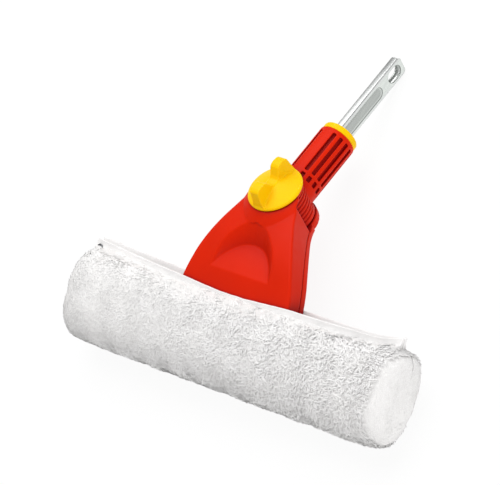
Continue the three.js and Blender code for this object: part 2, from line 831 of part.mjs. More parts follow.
const snapMiddle = -sleeveTop + hemHeight / 2;
const snapX = -sleeveLength / 2 + snapInset;
const snapSlit = slitAt(snapX);

// A round piece of the press stud, along the head's depth.
const snapRod = (radius, low, high) => solid(rod(radius, low, high, snapX, snapMiddle, smallSides));
const snapFront = -snapSlit.back + snapSlit.half;
const snapRear = -snapSlit.back - snapSlit.half;
const snapHole = snapPost + fitGap;

function hem(side) {
  const band = solid(upHead(hemBand(side, 0, hemThick), -sleeveTop + fitGap, hemHeight));
  const reach = sleeveLength / 2;
  const edge = hemPlaceShares.map((share) => new THREE.Vector2(share * reach, hemTop(share * reach, side)));
  const corner = (end, y) => new THREE.Vector2(end * (reach + overrun), y);
  const far = [corner(1, edge.at(-1).y), corner(1, sleeveThick)];
  const near = [corner(-1, sleeveThick), corner(-1, edge[0].y)];
  const trim = solid(slab([...edge, ...far, ...near], -sleeveThick, sleeveThick));
  const middle = side > 0 ? snapFront : snapRear;
  return band.subtract(trim).subtract(snapRod(snapHole, middle - 2 * hemThick, middle + 2 * hemThick));
}

// The outline of the slit, grown by an offset on both sides, in (x, depth)
function slitOutline(offset, reach) {
  const count = 2 * hemSteps + 1;
  const front = hemBand(1, offset, offset, reach).slice(0, count);
  return front.concat(hemBand(-1, offset, offset, reach).slice(count));
}

function fleeceSleeve() {
  const half = sleeveLength / 2;
  const rings = [];
  for (let i = 0; i <= sleeveSteps; i++) {
    rings.push(sleeveRing(THREE.MathUtils.lerp(-half, half, i / sleeveSteps)));
  }
  const hemRoom = upHead(slitOutline(hemThick + fitGap, half + overrun), -sleeveTop, sleeveTop + hemHeight);
  const inner = slitOutline(0, half).filter((point) => Math.abs(point.x) < slitReach);
  const studRoom = hemThick + snapPlate + 2 * fitGap;
  return solid(lofted(rings))
    .subtract(snapRod(snapRadius + fitGap, snapRear - studRoom, snapFront + studRoom))
    .subtract(barSolid(sleeveRoom, barLength / 2 + capFlange + sleeveRoom))
    .subtract(solid(hemRoom))
    .subtract(solid(upHead(inner, -barTop - overrun, overrun)));
}

function sleeveEnd(side) {
  const { bulge } = side < 0 ? leftEnd : rightEnd;
  const rings = [];
  for (let i = 0; i <= panelSteps; i++) {
    const out = (bulge - fitGap) * panelReachShare * Math.sin(((Math.PI / 2) * i) / panelSteps);
    rings.push(sleeveRing(side * (sleeveLength / 2 + fitGap + out)));
  }
  return solid(lofted(rings));
}

function snapCap() {
  const face = snapFront + hemThick + fitGap;
  const plate = snapRod(snapRadius, face, face + snapPlate);
  return plate.add(snapRod(snapPost, snapFront - snapPlate / 2, face + snapPlate / 2));
}

function snapSocket() {
  const face = snapFront - fitGap;
  const ring = snapRod(snapRadius, face - snapPlate, face);
  return ring.subtract(snapRod(snapHole + fitGap, face - 2 * snapPlate, face + snapPlate));
}

function snapStud() {
  const face = snapRear + fitGap;
  const plate = snapRod(snapRadius, face, face + snapPlate);
  return plate.subtract(snapRod(snapHole + fitGap, face - snapPlate, face + 2 * snapPlate));
}

function snapRing() {
  const face = snapRear - hemThick - fitGap;
  const plate = snapRod(snapRadius, face - snapPlate, face);
  return plate.add(snapRod(snapPost, face - snapPlate / 2, snapRear + snapPlate / 2));
}

// Finishes
const finishes = {
  red: new THREE.MeshStandardMaterial({ color: 0xd92a14, roughness: 0.38, metalness: 0 }),
  yellow: new THREE.MeshStandardMaterial({ color: 0xfcc800, roughness: 0.35, metalness: 0 }),
  zinc: new THREE.MeshStandardMaterial({ color: 0xc9cccc, roughness: 0.3, metalness: 0.9 }),
  brass: new THREE.MeshStandardMaterial({ color: 0xb8923f, roughness: 0.35, metalness: 0.9 }),
  fleece: new THREE.MeshStandardMaterial({ color: 0xeeeeec, roughness: 0.95, metalness: 0 }),
  webbing: new THREE.MeshStandardMaterial({ color: 0xf2f2f0, roughness: 0.85, metalness: 0 }),
  grey: new THREE.MeshStandardMaterial({ color: 0x8c8f91, roughness: 0.5, metalness: 0 }),
  black: new THREE.MeshStandardMaterial({ color: 0x222222, roughness: 0.7, metalness: 0 }),
};

function piece(name, shape, finish) {
  const geometry = shape.isBufferGeometry ? shape : geometryOf(shape);
  const mesh = new THREE.Mesh(geometry, finishes[finish].clone());
  mesh.name = name;
  return mesh;
}

const joint = new THREE.Group();
joint.position.set(0, jointHeight, -jointSetback);
joint.rotation.x = -crank;
joint.add(
  piece("swivel_socket", swivelSocket(), "red"),
  piece("collar_ring", collarRing(), "yellow"),
  piece("steel_tongue", steelTongue(), "zinc"),
  piece("pivot_bolt", pivotBolt(), "zinc"),
  piece("friction_disc_front", frictionDisc(1), "black"),
  piece("friction_disc_rear", frictionDisc(-1), "black"),
  piece("thrust_washer", thrustWasher(), "zinc"),
  piece("knob_insert", knobInsert(), "brass"),
  piece("wing_knob", wingKnob(), "yellow"),
);

const head = new THREE.Group();
head.add(
  joint,
  piece("head_body", headBody(), "red"),
  piece("rear_cover", rearCover(), "red"),
  piece("carrier_bar", carrierBar(), "grey"),
  piece("bar_cap_left", barCap(-1), "grey"),
  piece("bar_cap_right", barCap(1), "grey"),
  piece("fleece_sleeve", fleeceSleeve(), "fleece"),
  piece("sleeve_end_left", sleeveEnd(-1), "fleece"),
  piece("sleeve_end_right", sleeveEnd(1), "fleece"),
  piece("hem_front", hem(1), "webbing"),
  piece("hem_rear", hem(-1), "webbing"),
  piece("snap_cap", snapCap(), "zinc"),
  piece("snap_socket", snapSocket(), "zinc"),
  piece("snap_stud", snapStud(), "zinc"),
  piece("snap_ring", snapRing(), "zinc"),
);
screwPlaces.forEach((place) => head.add(piece(place.name, headScrew(place), "zinc")));

// Lowest height of a mesh when the head is tilted by an angle.
function lowest(mesh, tilt) {
  head.rotation.x = tilt;
  head.updateMatrixWorld(true);
  return new THREE.Box3().setFromObject(mesh, true).min.z;
}

// Tilts the head until the sleeve and the tongue's tip both lie on the ground.
function restTilt() {
  const sleeve = head.getObjectByName("fleece_sleeve");
  const tongue = head.getObjectByName("steel_tongue");
  let low = 0;
  let high = crank;
  for (let i = 0; i < roundSides; i++) {
    const middle = (low + high) / 2;
    if (lowest(tongue, middle) < lowest(sleeve, middle)) low = middle;
    else high = middle;
  }
  return low;
}
head.rotation.x = restTilt();

const part = new THREE.Group();
part.add(head);
part.updateMatrixWorld(true);
const bounds = new THREE.Box3().setFromObject(part, true);
const middle = bounds.getCenter(new THREE.Vector3());
head.position.set(-middle.x, -middle.y, -bounds.min.z);

export default part;
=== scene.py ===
import json
import math

import bmesh
import bpy
import numpy as np
from mathutils import Matrix, Vector, kdtree, noise


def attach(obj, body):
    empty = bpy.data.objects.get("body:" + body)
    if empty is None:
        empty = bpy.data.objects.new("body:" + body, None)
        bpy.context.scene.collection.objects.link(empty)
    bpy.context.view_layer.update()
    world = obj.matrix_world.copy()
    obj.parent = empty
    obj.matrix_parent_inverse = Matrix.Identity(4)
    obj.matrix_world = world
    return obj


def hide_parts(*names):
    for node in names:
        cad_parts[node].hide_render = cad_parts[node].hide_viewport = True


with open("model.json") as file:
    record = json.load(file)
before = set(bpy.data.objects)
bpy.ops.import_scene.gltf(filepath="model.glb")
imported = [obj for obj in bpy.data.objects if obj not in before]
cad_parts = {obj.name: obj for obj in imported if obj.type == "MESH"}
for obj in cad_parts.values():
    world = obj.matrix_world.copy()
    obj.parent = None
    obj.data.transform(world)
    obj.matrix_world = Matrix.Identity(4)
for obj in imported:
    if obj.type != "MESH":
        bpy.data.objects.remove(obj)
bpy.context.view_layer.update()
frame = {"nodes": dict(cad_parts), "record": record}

# The washing head: red fan-shaped head with a yellow wing knob, swivelling socket with a steel tongue,
# and a white fleece sleeve. Local sizes are in millimetres, in two frames.
# Head frame: X along the bar, Y up the head, Z out of its face, origin at the sleeve's slit.
# Joint frame: origin at the swivel centre, Y along the handle, Z along the pivot bolt.
bpy.ops.object.select_all(action="DESELECT")

MM = 0.001
AXIS_RADIUS = 0.001
CRANK = math.radians(32)
JOINT_HEIGHT = 73.6
JOINT_SETBACK = 16.1
SWIVEL = next(j for j in frame["record"]["behaviour"]["joints"] if j["name"] == "swivel")
LEAN = math.atan2(SWIVEL["axis"][1], SWIVEL["axis"][2])
JOINT_FRAME = (
    Matrix.Translation(SWIVEL["pos_m"]) @ Matrix.Rotation(-LEAN, 4, "X") @ Matrix.Scale(MM, 4)
)
HEAD_FRAME = (
    JOINT_FRAME @ Matrix.Rotation(CRANK, 4, "X") @ Matrix.Translation((0, -JOINT_HEIGHT, JOINT_SETBACK))
)
HEAD = (HEAD_FRAME, "head")
HANDLE = (JOINT_FRAME, "handle")

# Camera
CAMERA_AZIMUTH = math.radians(72.9)
CAMERA_ELEVATION = math.radians(48.51)
CAMERA_ROLL = math.radians(-49.33)
CAMERA_DISTANCE = 3.0
CAMERA_AIM = Vector(SWIVEL["pos_m"]) + Vector((-0.0158, -0.0356, -0.0031))
CAMERA_LENS = 280.1
CAMERA_SENSOR = 36

# Light, in metres: each lamp stands at shares of the camera's right, up and back
AMBIENT = 0.5
MIRRORED = 0.3
KEY_AIM = (-0.5, 1.1, 0.6)
KEY_DISTANCE = 1.6
KEY_POWER = 30
KEY_SIZE = 1.8
FILL_AIM = (0.4, -0.5, 1)
FILL_DISTANCE = 1.8
FILL_POWER = 14
FILL_SIZE = 1
FLOOR_GLOW = 1
FLOOR_GLOW_SEEN = 0.9
FLOOR_WHITE = 0.9
FLOOR_SIZE = 40
FLOOR_DROP = 0.0005

# Finishes, and painted shade in sheltered hollows and on the tongue's channels and side walls
# Painted shade: how far ambient occlusion reaches when it darkens sheltered places
PAINTED_SHADE_REACH = 24
MOULD_RELIEF = 0.02
DRAWN_RELIEF = 0.01
# Painted shade on the tongue: grey levels across its channels, their tint, and the darker tone of its side
# walls
CHANNEL_SHADE_TONES = ((0, 0.6), (0.3, 0.78), (0.6, 0.85), (0.78, 0.3), (0.93, 0.4), (1, 1))
CHANNEL_SHADE_TINT = (1, 1.03, 1)
SIDE_WALL_SHADE = 0.62

# Head body and cover
HEAD_WIDTH = 110
HEAD_DEPTH = 21
HEAD_FOOT = 7.8
HEAD_CORNER = 1.6
SEAM_CORNER = 0.4
SEAM_GAP = 0.5
BASE_CROWN = 0.6
TOP_CROWN = 3
EAR_RADIUS = 21.5
HUB_RADIUS = 21.4
HUB_FLARE = 13
HUB_DROP = 9.5
HUB_SHARES = ((0, 0), (0.08, 0.03), (0.2, 0.12), (0.4, 0.32), (0.6, 0.54), (0.8, 0.77), (1, 1))
FRONT_EAR = 3
REAR_EAR = 6.5
DRUM_HALF = 13.2
EAR_GAP = 14.6
LIP_DROP = 7.5
HEIGHT_SHARES = (-0.11, 0, 0.228, 0.421, 0.614, 0.807, 0.904, 1)
WIDTH_SHARES = (1.015, 1, 0.92, 0.81, 0.675, 0.53, 0.47, 0.42)
FRONT_SWELL = 1.3
REAR_SWELL = 1.5
FRONT_PLANE = EAR_GAP + FRONT_EAR
REAR_PLANE = EAR_GAP + REAR_EAR
SPINE_RADIUS = JOINT_SETBACK / (1 - math.cos(CRANK))
SPINE_STRAIGHT = JOINT_HEIGHT - SPINE_RADIUS * math.sin(CRANK)
SPINE_LENGTH = SPINE_STRAIGHT + SPINE_RADIUS * CRANK
HEAD_STATIONS = 110
FACE_STEPS = 120
HEAD_VOXEL = 0.6
EAR_LAP = 2
HUB_INSET = 0.1
BOLT_POCKET_RADIUS = 7.9
BOLT_POCKET_DEPTH = 5.5
CUT_PAST = 4

# Arched hollow in the face: its floor slopes down from the foot and a slanting band rises round it
ARCH_HALF = 31.5
ARCH_HEIGHT = 54
ARCH_FOOT = 13
ARCH_TOP = 57
ARCH_DEPTH = 10
ARCH_ACROSS_SHARES = (0, 0.34, 0.6, 0.8, 0.94, 1)
ARCH_OUTER_SHARES = (1.02, 0.965, 0.83, 0.67, 0.45, 0.24)
ARCH_INNER_ACROSS_SHARES = (0, 0.3, 0.58, 0.8, 0.96, 1)
ARCH_INNER_SHARES = (0.73, 0.69, 0.57, 0.41, 0.24, 0.22)

# Swivel drum and handle socket
DRUM_RADIUS = 20.5
DRUM_RINGS = 7
RING_GROOVE = 1.1
RING_CREST_SHARE = 0.56
RING_SLOPE = 0.25
SOCKET_VOXEL = 0.42
NECK_LAP = 2
SOCKET_RADIUS = 15.6
SOCKET_LENGTH = 71.4
FLUTE_COUNT = 6
FLUTE_WIDTH = 3.2
FLUTE_DEPTH = 2.9
FLUTE_LENGTH = 39.5
FLUTE_FROM_MOUTH = 3.3
FLUTE_FIRST = math.radians(27)
FLUTE_PITCH = math.radians(24.5)
POCKET_WIDTH = 3.4
POCKET_LENGTH = 5
POCKET_BAND = 2.6
GROOVE_FLAT = 0.05

# Collar ring and steel tongue
COLLAR_RADIUS = 15
COLLAR_LENGTH = 5.6
COLLAR_EDGE = 1.1
TONGUE_THICK = 6.5
TONGUE_WIDTH = 17.5
TONGUE_SEAT = 8
TONGUE_EDGE = 0.35
TONGUE_SLOT_EDGE = 1.2
CHANNEL_HALF = 6.3
CHANNEL_FLOOR = 2
SIDE_WALL_FROM = 8.4
FIT_GAP = 0.3

# Wing knob, heights measured from its rim
KNOB_RADIUS = 22.5
KNOB_RIM = 3
KNOB_EDGE = 0.8
KNOB_BASE = FRONT_PLANE + FIT_GAP
DOME_HEIGHT = 9.2
WING_HEIGHT = 18.5
WING_THICK = 8.5
WING_FOOT_THICK = 13
WING_FOOT_SHARE = 0.62
WING_FOOT_POWER = 2.2
WING_LIFT = 0.4
WING_LEVELS = 24
KNOB_STEPS = 12
KNOB_DOME_POWER = 1.8
KNOB_VOXEL = 0.45

# Fleece sleeve: a stuffed tube, slit along its top, with a dome at each end
SLEEVE_REACH = 158
SLEEVE_HEIGHT = 78
SLEEVE_THICK = 60
SLEEVE_SETBACK = 5
SLEEVE_POWER = 2.5
LEFT_END = (32, 7)
RIGHT_END = (14, 17)
DOME_POWER = 3
DOME_ROOT = 2.6
DOME_START = 0.3
DOME_LOSS = 0.31
DOME_TIP_SHARE = 0.9999
END_HEIGHT_POWER = 0.5
END_PIVOT = 30
SHOULDER_SLOPE = 0.15
HEM_FILLET = 1.2
LUMP_DEPTH = 0.8
LUMP_PITCHES = (47, 29)
FINE_LUMP = 1.1
FINE_LUMP_SIZE = 9
FINE_LUMP_SHARE = 0.6
PILE_DEPTH = 1.3
HEM_FADE = 9
HEM_FADE_LEAST = 0.12
SECTION_STEPS = 720
SECTION_PASSES = 20
SKIN_COUNTS = (159, 132)
DOME_COUNTS = (18, 96)
SLIT_STATIONS = 57
SLIT_LAP = 1
BAR_HALF = 149.8
BAR_FRONT = 14.8
BAR_REAR = -20.8
BAR_LOW = -59.3
BAR_TOP = -8.4

# Hems beside the slit: the height of each top edge above the slit's foot, as shares of the hem
SLIT_FOOT = -7
HEM_HEIGHT = 9
HEM_THICK = 2.2
HEM_STATIONS = 317
HEM_BAND = 6
HEM_ROLL = 0.35
SLIT_STRAIGHT = 42
SLIT_REACH = 140
SNAP_END_GAP = 3.4
SEWN_END_GAP = 0.6
SLIT_AT_HEAD = 10.8
HEM_PLACE_SHARES = (-1, -0.77, -0.54, -0.32, 0, 0.44, 0.7, 0.87, 1)
HEM_FRONT_SHARES = (1.33, 1.02, 0.82, 0.71, 0.76, 0.79, 0.91, 1.07, 1.62)
HEM_REAR_SHARES = (1.58, 1.38, 1.2, 1.02, 1, 1.06, 1.13, 1.27, 1.69)
HEM_DIP = 3.2
HEM_DIP_REACH = 66
PUCKER_PITCH = 17
PUCKER_DEPTH = 0.8
PUCKER_PLACE = 5
PUCKER_HALF = 2.5
PUCKER_IN_PILE = 4
PUCKER_POWER = 4
PUCKER_DRIFT = (0.3, 40)
PUCKER_STRENGTH = (0.65, 0.7, 23)
HEM_WAVE = 0.3
HEM_TOP_PITCH = 9
HEM_SIDE_PITCH = 14
HEM_FOOT_DROP = 1
HEM_TUCK = 3.5

# The hem's section: drop below its top edge, distance out, and the shares of the roll and the pucker there
HEM_SECTION = (
    (1.2, 0, 0, 0), (0.35, 0.25, -1, 0), (0, HEM_THICK * 0.5, 0, 0), (0.35, HEM_THICK - 0.1, 1, 0),
    (1.1, HEM_THICK, 1, 0), (2, HEM_THICK, 0, 0), (3.6, HEM_THICK, 0, 0), (5, HEM_THICK + 0.2, 0, 1),
    (6.2, HEM_THICK + 1.1, 0, 1), (7.2, HEM_THICK + 2.6, 0, 0), (8.4, HEM_THICK + 2.4, 0, 0),
)

# Press stud at the slit's left end
SNAP_X = -153.4
SNAP_Y = -2.5
SNAP_RADIUS = 3.2
SNAP_RIM = 0.6
SNAP_FACE = -0.5
SNAP_DISH_DROP = 0.2
SNAP_DISH_DEPTH = 3

# Pile: thin curled strands gathered into tufts, straighter and finer on the domes
PILE_SEED = 11
SWAY_SEED = 5
TUFT_SPACING = 4.6
STRAND_SPACING = 1.2
STRAND_LENGTH = 3.7
STRAND_WIDTH = 1.3
STRAND_WIDTH_SHARES = (0.9, 1, 0.75, 0.15)
STRAND_SIDES = 3
STRAND_FORMS = 12
CRISP_SHARES = (0.1, 0.62)
DOME_CRISP = 0.5
LENGTH_SHARES = (0.8, 1.05)
CURL_SHARES = (0.05, 0.24)
RISE_SHARES = (0.08, 0.55)
FLAT_SHARES = (0.15, 1)
ROOT_DEPTH = 0.1
FRINGE_WIDTH = 9
PILE_PIECES = 8
DOME_FACING = 0.4
DOME_LENGTH_SHARES = (0.38, 0.55)
TWIST = (3, 6.5)
LAY_POWER = 1.3
ROOT_JITTER = 0.45
ROOT_STEPS = 319
DOME_ROWS = 40
SWAY_SIZE = 16
SWAY_PLACE = (3, 8, 1)
STRAY_SHARE = 0.7
TUFT_LEAN_SHARES = (0.5, 1.4)
TUFT_RIM_RATE = 1.6
TUFT_RIM_LOSS = 0.3
DOME_LEAN = 0.5
FRINGE_LEAN = 1.2
HEM_LEAN = 2
HEM_LEAN_REACH = 4
GROWN_AT_HEM = 0.7
GROWN_REACH = 30
OPEN_AT_HEM = 0.1
OPEN_REACH = 20
LENGTH_SPREAD = (0.85, 1.15)
FORM_SLOPE = 0.7
FORM_SPREAD = 0.3
LAST_FORM_SHARE = 0.99


# General helpers

def only(obj):
    """Selects one object alone and makes it active."""
    bpy.ops.object.select_all(action="DESELECT")
    obj.select_set(True)
    bpy.context.view_layer.objects.active = obj


def smooth(obj):
    """Shades one object smooth."""
    only(obj)
    bpy.ops.object.shade_smooth()


def apply(obj, kind, **settings):
    """Adds a modifier with its settings and applies it."""
    only(obj)
    modifier = obj.modifiers.new(kind.lower(), kind)
    for key, value in settings.items():
        setattr(modifier, key, value)
    bpy.ops.object.modifier_apply(modifier=modifier.name)


def combine(obj, tool, operation="DIFFERENCE"):
    """Cuts, joins or crosses an object with a tool, and removes the tool."""
    apply(obj, "BOOLEAN", operation=operation, object=tool, solver="MANIFOLD")
    bpy.data.objects.remove(tool)


def added(name, data):
    """A new object in the scene, with its data."""
    obj = bpy.data.objects.new(name, data)
    bpy.context.collection.objects.link(obj)
    return obj


def loft(name, rings):
    """A closed skin over rings of points, with a flat face at each end."""
    count = len(rings[0])
    faces = []
    for r in range(len(rings) - 1):
        for i in range(count):
            j = (i + 1) % count
            faces.append((r * count + i, r * count + j, (r + 1) * count + j, (r + 1) * count + i))
    faces.append(tuple(reversed(range(count))))
    faces.append(tuple(range((len(rings) - 1) * count, len(rings) * count)))
    mesh = bpy.data.meshes.new(name)
    mesh.from_pydata([tuple(p) for ring in rings for p in ring], [], faces)
    mesh.update()
    obj = added(name, mesh)
    only(obj)
    bpy.ops.object.mode_set(mode="EDIT")
    bpy.ops.mesh.select_all(action="SELECT")
    bpy.ops.mesh.normals_make_consistent(inside=False)
    bpy.ops.object.mode_set(mode="OBJECT")
    return obj


def round_bar(name, radius, low, high, sides=96, turn=None):
    """A round bar along Z, or turned by a matrix."""
    middle = (low + high) / 2
    bpy.ops.mesh.primitive_cylinder_add(
        vertices=sides, radius=radius, depth=high - low, location=(0, 0, middle)
    )
    obj = bpy.context.object
    obj.name = name
    bpy.ops.object.transform_apply()
    if turn:
        obj.data.transform(turn)
    return obj


def block(name, low, high, edge=0.0):
    """A block between two corners, its edges rounded if an edge radius is given."""
    middle = [(a + b) / 2 for a, b in zip(low, high)]
    bpy.ops.mesh.primitive_cube_add(size=1, location=middle)
    obj = bpy.context.object
    obj.name = name
    obj.scale = [b - a for a, b in zip(low, high)]
    bpy.ops.object.transform_apply()
    if edge:
        apply(obj, "BEVEL", width=edge, segments=3)
    return obj


def spun(name, profile, sides=128):
    """A profile of (radius, height) pairs spun about Z; it starts and ends on the axis."""
    rings = []
    for radius, height in profile:
        reach = max(radius, AXIS_RADIUS)
        angles = [2 * math.pi * i / sides for i in range(sides)]
        rings.append([(reach * math.cos(a), reach * math.sin(a), height) for a in angles])
    return loft(name, rings)


def voxel(obj, size, relax):
    """Turns joined forms into one even skin, so that their edges and inner corners round over."""
    apply(obj, "REMESH", mode="VOXEL", voxel_size=size, adaptivity=0.0)
    apply(obj, "SMOOTH", factor=0.5, iterations=relax)
    smooth(obj)


def smooth_by_angle(obj, degrees=35):
    only(obj)
    bpy.ops.object.shade_smooth_by_angle(angle=math.radians(degrees))


def settle(obj, local, body, material, slot, *nodes):
    """Puts a finished piece in its place on its body, with its material."""
    obj.data.transform(local)
    obj.data.materials.clear()
    obj.data.materials.append(material)
    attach(obj, body)
    if nodes:
        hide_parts(*nodes)


def ease(keys, values, at):
    """Smooth reading of a table, through every one of its points."""
    keys = np.asarray(keys, float)
    values = np.asarray(values, float)
    slopes = np.gradient(values, keys)
    k = np.clip(np.searchsorted(keys, at) - 1, 0, len(keys) - 2)
    width = keys[k + 1] - keys[k]
    t = np.clip((at - keys[k]) / width, 0, 1)
    start = (2 * t**3 - 3 * t**2 + 1) * values[k] + (t**3 - 2 * t**2 + t) * width * slopes[k]
    return start + (3 * t**2 - 2 * t**3) * values[k + 1] + (t**3 - t**2) * width * slopes[k + 1]


def lerp(a, b, t):
    return a + (b - a) * t


# Shader helpers

def feed(tree, target, inputs):
    """Sets or links inputs, each by its name or by its number: i0, i1 and so on."""
    for key, value in inputs.items():
        socket = target.inputs[int(key[1:])] if key[0] == "i" and key[1:].isdigit() else target.inputs[key]
        if isinstance(value, bpy.types.NodeSocket):
            tree.links.new(value, socket)
        else:
            socket.default_value = value


def node(tree, kind, settings=None, **inputs):
    """Adds a shader node with its settings and inputs."""
    made = tree.nodes.new("ShaderNode" + kind)
    for key, value in (settings or {}).items():
        setattr(made, key, value)
    feed(tree, made, inputs)
    return made


def ranged(tree, value, low, high, to_low=0.0, to_high=1.0):
    """Maps a value from one range to another, held at both ends."""
    return node(tree, "MapRange", i0=value, i1=low, i2=high, i3=to_low, i4=to_high).outputs[0]


def worked(tree, operation, first, second=0.0):
    """The result of a sum on one or two values."""
    return node(tree, "Math", {"operation": operation}, i0=first, i1=second).outputs[0]


def blended(tree, share, first, second, blend="MIX"):
    """Two colours mixed, with a share of the second."""
    settings = {"data_type": "RGBA", "blend_type": blend}
    return node(tree, "Mix", settings, i0=share, i6=first, i7=second).outputs[2]


def speckle(tree, place, scale, detail, roughness=0.5):
    """Soft noise in space."""
    made = node(tree, "TexNoise", Vector=place, Scale=scale, Detail=detail, Roughness=roughness)
    return made.outputs[0]


def show_mix(tree, share, first, second):
    """Shows two shaders mixed, with a share of the second."""
    mix = node(tree, "MixShader", i0=share, i1=first.outputs[0], i2=second.outputs[0])
    tree.links.new(mix.outputs[0], tree.nodes["Material Output"].inputs["Surface"])


def mould_group():
    """Moulded plastic: fine grain, faint flow marks, paler rubbed edges, and painted shade: a darker colour
    that ambient occlusion mixes into sheltered places.
    """
    tree = bpy.data.node_groups.new("moulded surface", "ShaderNodeTree")
    sockets = {
        "INPUT": ("Colour", "Worn Colour", "Deep Colour", "Roughness"),
        "OUTPUT": ("Colour", "Roughness", "Height"),
    }
    for way, labels in sockets.items():
        for label in labels:
            kind = "NodeSocketColor" if "Colour" in label else "NodeSocketFloat"
            tree.interface.new_socket(label, in_out=way, socket_type=kind)
    given = tree.nodes.new("NodeGroupInput").outputs
    place = node(tree, "TexCoord").outputs["Object"]
    scuff = speckle(tree, place, 160.0, 4.0, 0.7)
    edge = node(tree, "NewGeometry").outputs["Pointiness"]
    rubbed = worked(tree, "MULTIPLY", ranged(tree, edge, 0.53, 0.6, 0.0, 0.55), scuff)
    # Painted shade: ambient occlusion mixes the darker colour into hollows, grooves and contact lines
    occlusion_shade = node(tree, "AmbientOcclusion", {"samples": 12}, Distance=PAINTED_SHADE_REACH * MM)
    flow = ranged(tree, speckle(tree, place, 28.0, 2.0), 0.3, 0.7, 0.96, 1.04)
    tinted = node(tree, "HueSaturation", Color=given["Colour"], Value=flow).outputs[0]
    worn = blended(tree, rubbed, tinted, given["Worn Colour"])
    feed(tree, tree.nodes.new("NodeGroupOutput"), {
        "Colour": blended(tree, ranged(tree, occlusion_shade.outputs["AO"], 1.0, 0.4), worn, given["Deep Colour"]),
        "Roughness": worked(tree, "ADD", given["Roughness"], ranged(tree, scuff, 0.3, 0.7, -0.05, 0.07)),
        "Height": speckle(tree, place, 900.0, 3.0),
    })
    return tree


MOULD = mould_group()


def new_material(name):
    material = bpy.data.materials.new(name)
    material.use_nodes = True
    tree = material.node_tree
    return material, tree, tree.nodes["Principled BSDF"]


# The third colour is painted shade, mixed into sheltered places
def moulded_plastic(name, colour, worn, deep, roughness, soft=0.0):
    """Half-gloss injection-moulded plastic."""
    material, tree, shader = new_material(name)
    surface = node(tree, "Group", {"node_tree": MOULD}, **{
        "Colour": (*colour, 1), "Worn Colour": (*worn, 1), "Deep Colour": (*deep, 1), "Roughness": roughness,
    }).outputs
    bump = node(tree, "Bump", Strength=0.35, Distance=MOULD_RELIEF * MM, Height=surface["Height"])
    feed(tree, shader, {
        "Base Color": surface["Colour"], "Roughness": surface["Roughness"], "Normal": bump.outputs[0],
        "Subsurface Weight": soft, "Subsurface Scale": 0.002, "Specular IOR Level": 0.08,
    })
    return material


def channel_painted_shade(tree, place, colour):
    """The tongue's colour with painted shade: its channels and side walls darker, darkest along the channels'
    edges.
    """
    offset = node(tree, "VectorMath", {"operation": "SUBTRACT"}, i0=place, i1=SWIVEL["pos_m"]).outputs[0]
    across = node(tree, "VectorMath", {"operation": "DOT_PRODUCT"}, i0=offset, i1=SWIVEL["axis"])
    off_middle = worked(tree, "ABSOLUTE", across.outputs["Value"])
    off_sheet = worked(tree, "ABSOLUTE", node(tree, "SeparateXYZ", i0=offset).outputs[0])
    height = ranged(tree, off_sheet, CHANNEL_FLOOR * MM, TONGUE_THICK / 2 * MM)
    ramp = node(tree, "ValToRGB", i0=height)
    stops = ramp.color_ramp.elements
    for share, _ in CHANNEL_SHADE_TONES[1:-1]:
        stops.new(share)
    for stop, (share, grey) in zip(stops, CHANNEL_SHADE_TONES):
        stop.position = share
        stop.color = (*(grey * tint for tint in CHANNEL_SHADE_TINT), 1)
    beside = worked(tree, "GREATER_THAN", off_middle, CHANNEL_HALF * MM)
    # Painted shade on the tongue's narrow side walls
    walls = ranged(tree, off_middle, SIDE_WALL_FROM * MM, TONGUE_WIDTH / 2 * MM, 1.0, SIDE_WALL_SHADE)
    return blended(tree, 1.0, colour, blended(tree, beside, ramp.outputs[0], walls), "MULTIPLY")


def zinc_plate(name, dull, bright, rough_low, rough_high, channels=False):
    """Metal with a fine drawn grain along the tongue and faint cloudy patches."""
    material, tree, shader = new_material(name)
    place = node(tree, "TexCoord").outputs["Object"]
    along = node(tree, "Mapping", Vector=place, Rotation=(LEAN, 0, 0), Scale=(1, 0.04, 1)).outputs[0]
    cloud = speckle(tree, along, 260.0, 2.0)
    colour = blended(tree, ranged(tree, cloud, 0.35, 0.68), (*dull, 1), (*bright, 1))
    # Painted shade along the tongue's channels and on its side walls
    if channels:
        colour = channel_painted_shade(tree, place, colour)
    drawn = speckle(tree, along, 900.0, 2.0)
    bump = node(tree, "Bump", Strength=0.15, Distance=DRAWN_RELIEF * MM, Height=drawn)
    feed(tree, shader, {
        "Base Color": colour, "Roughness": ranged(tree, cloud, 0.3, 0.7, rough_low, rough_high),
        "Normal": bump.outputs[0], "Metallic": 1.0,
    })
    return material


def soft_cloth(name, pale, shade, patch, weave, relief, sheen, through):
    """White cloth or pile: faint mottling in large patches, and a share of the light passes through."""
    material, tree, shader = new_material(name)
    place = node(tree, "TexCoord").outputs["Object"]
    level = ranged(tree, speckle(tree, place, patch, 3.0, 0.6), 0.35, 0.65)
    colour = blended(tree, level, (*shade, 1), (*pale, 1))
    fibre = speckle(tree, place, weave, 4.0, 0.7)
    bump = node(tree, "Bump", Strength=0.5, Distance=relief * MM, Height=fibre).outputs[0]
    feed(tree, shader, {
        "Base Color": colour, "Normal": bump, "Roughness": 0.92, "Specular IOR Level": 0.1,
        "Sheen Weight": sheen, "Sheen Roughness": 0.5,
    })
    show_mix(tree, through, shader, node(tree, "BsdfTranslucent", Color=colour, Normal=bump))
    return material


# Third colour of each plastic: the painted shade for its sheltered places
RED = moulded_plastic("red plastic", (0.59, 0.014, 0), (0.74, 0.06, 0.02), (0.3, 0.002, 0.003), 0.42, 0.05)
YELLOW = moulded_plastic("yellow plastic", (0.84, 0.5, 0), (1, 0.74, 0.12), (0.8, 0.42, 0), 0.4, 0.08)
GREY = moulded_plastic("grey plastic", (0.26, 0.27, 0.28), (0.4, 0.4, 0.4), (0.1, 0.1, 0.1), 0.5)
BLACK = moulded_plastic("friction lining", [0.02] * 3, [0.06] * 3, [0.01] * 3, 0.7)
ZINC = zinc_plate("zinc plate", (0.72, 0.735, 0.735), (0.8, 0.815, 0.81), 0.2, 0.28)
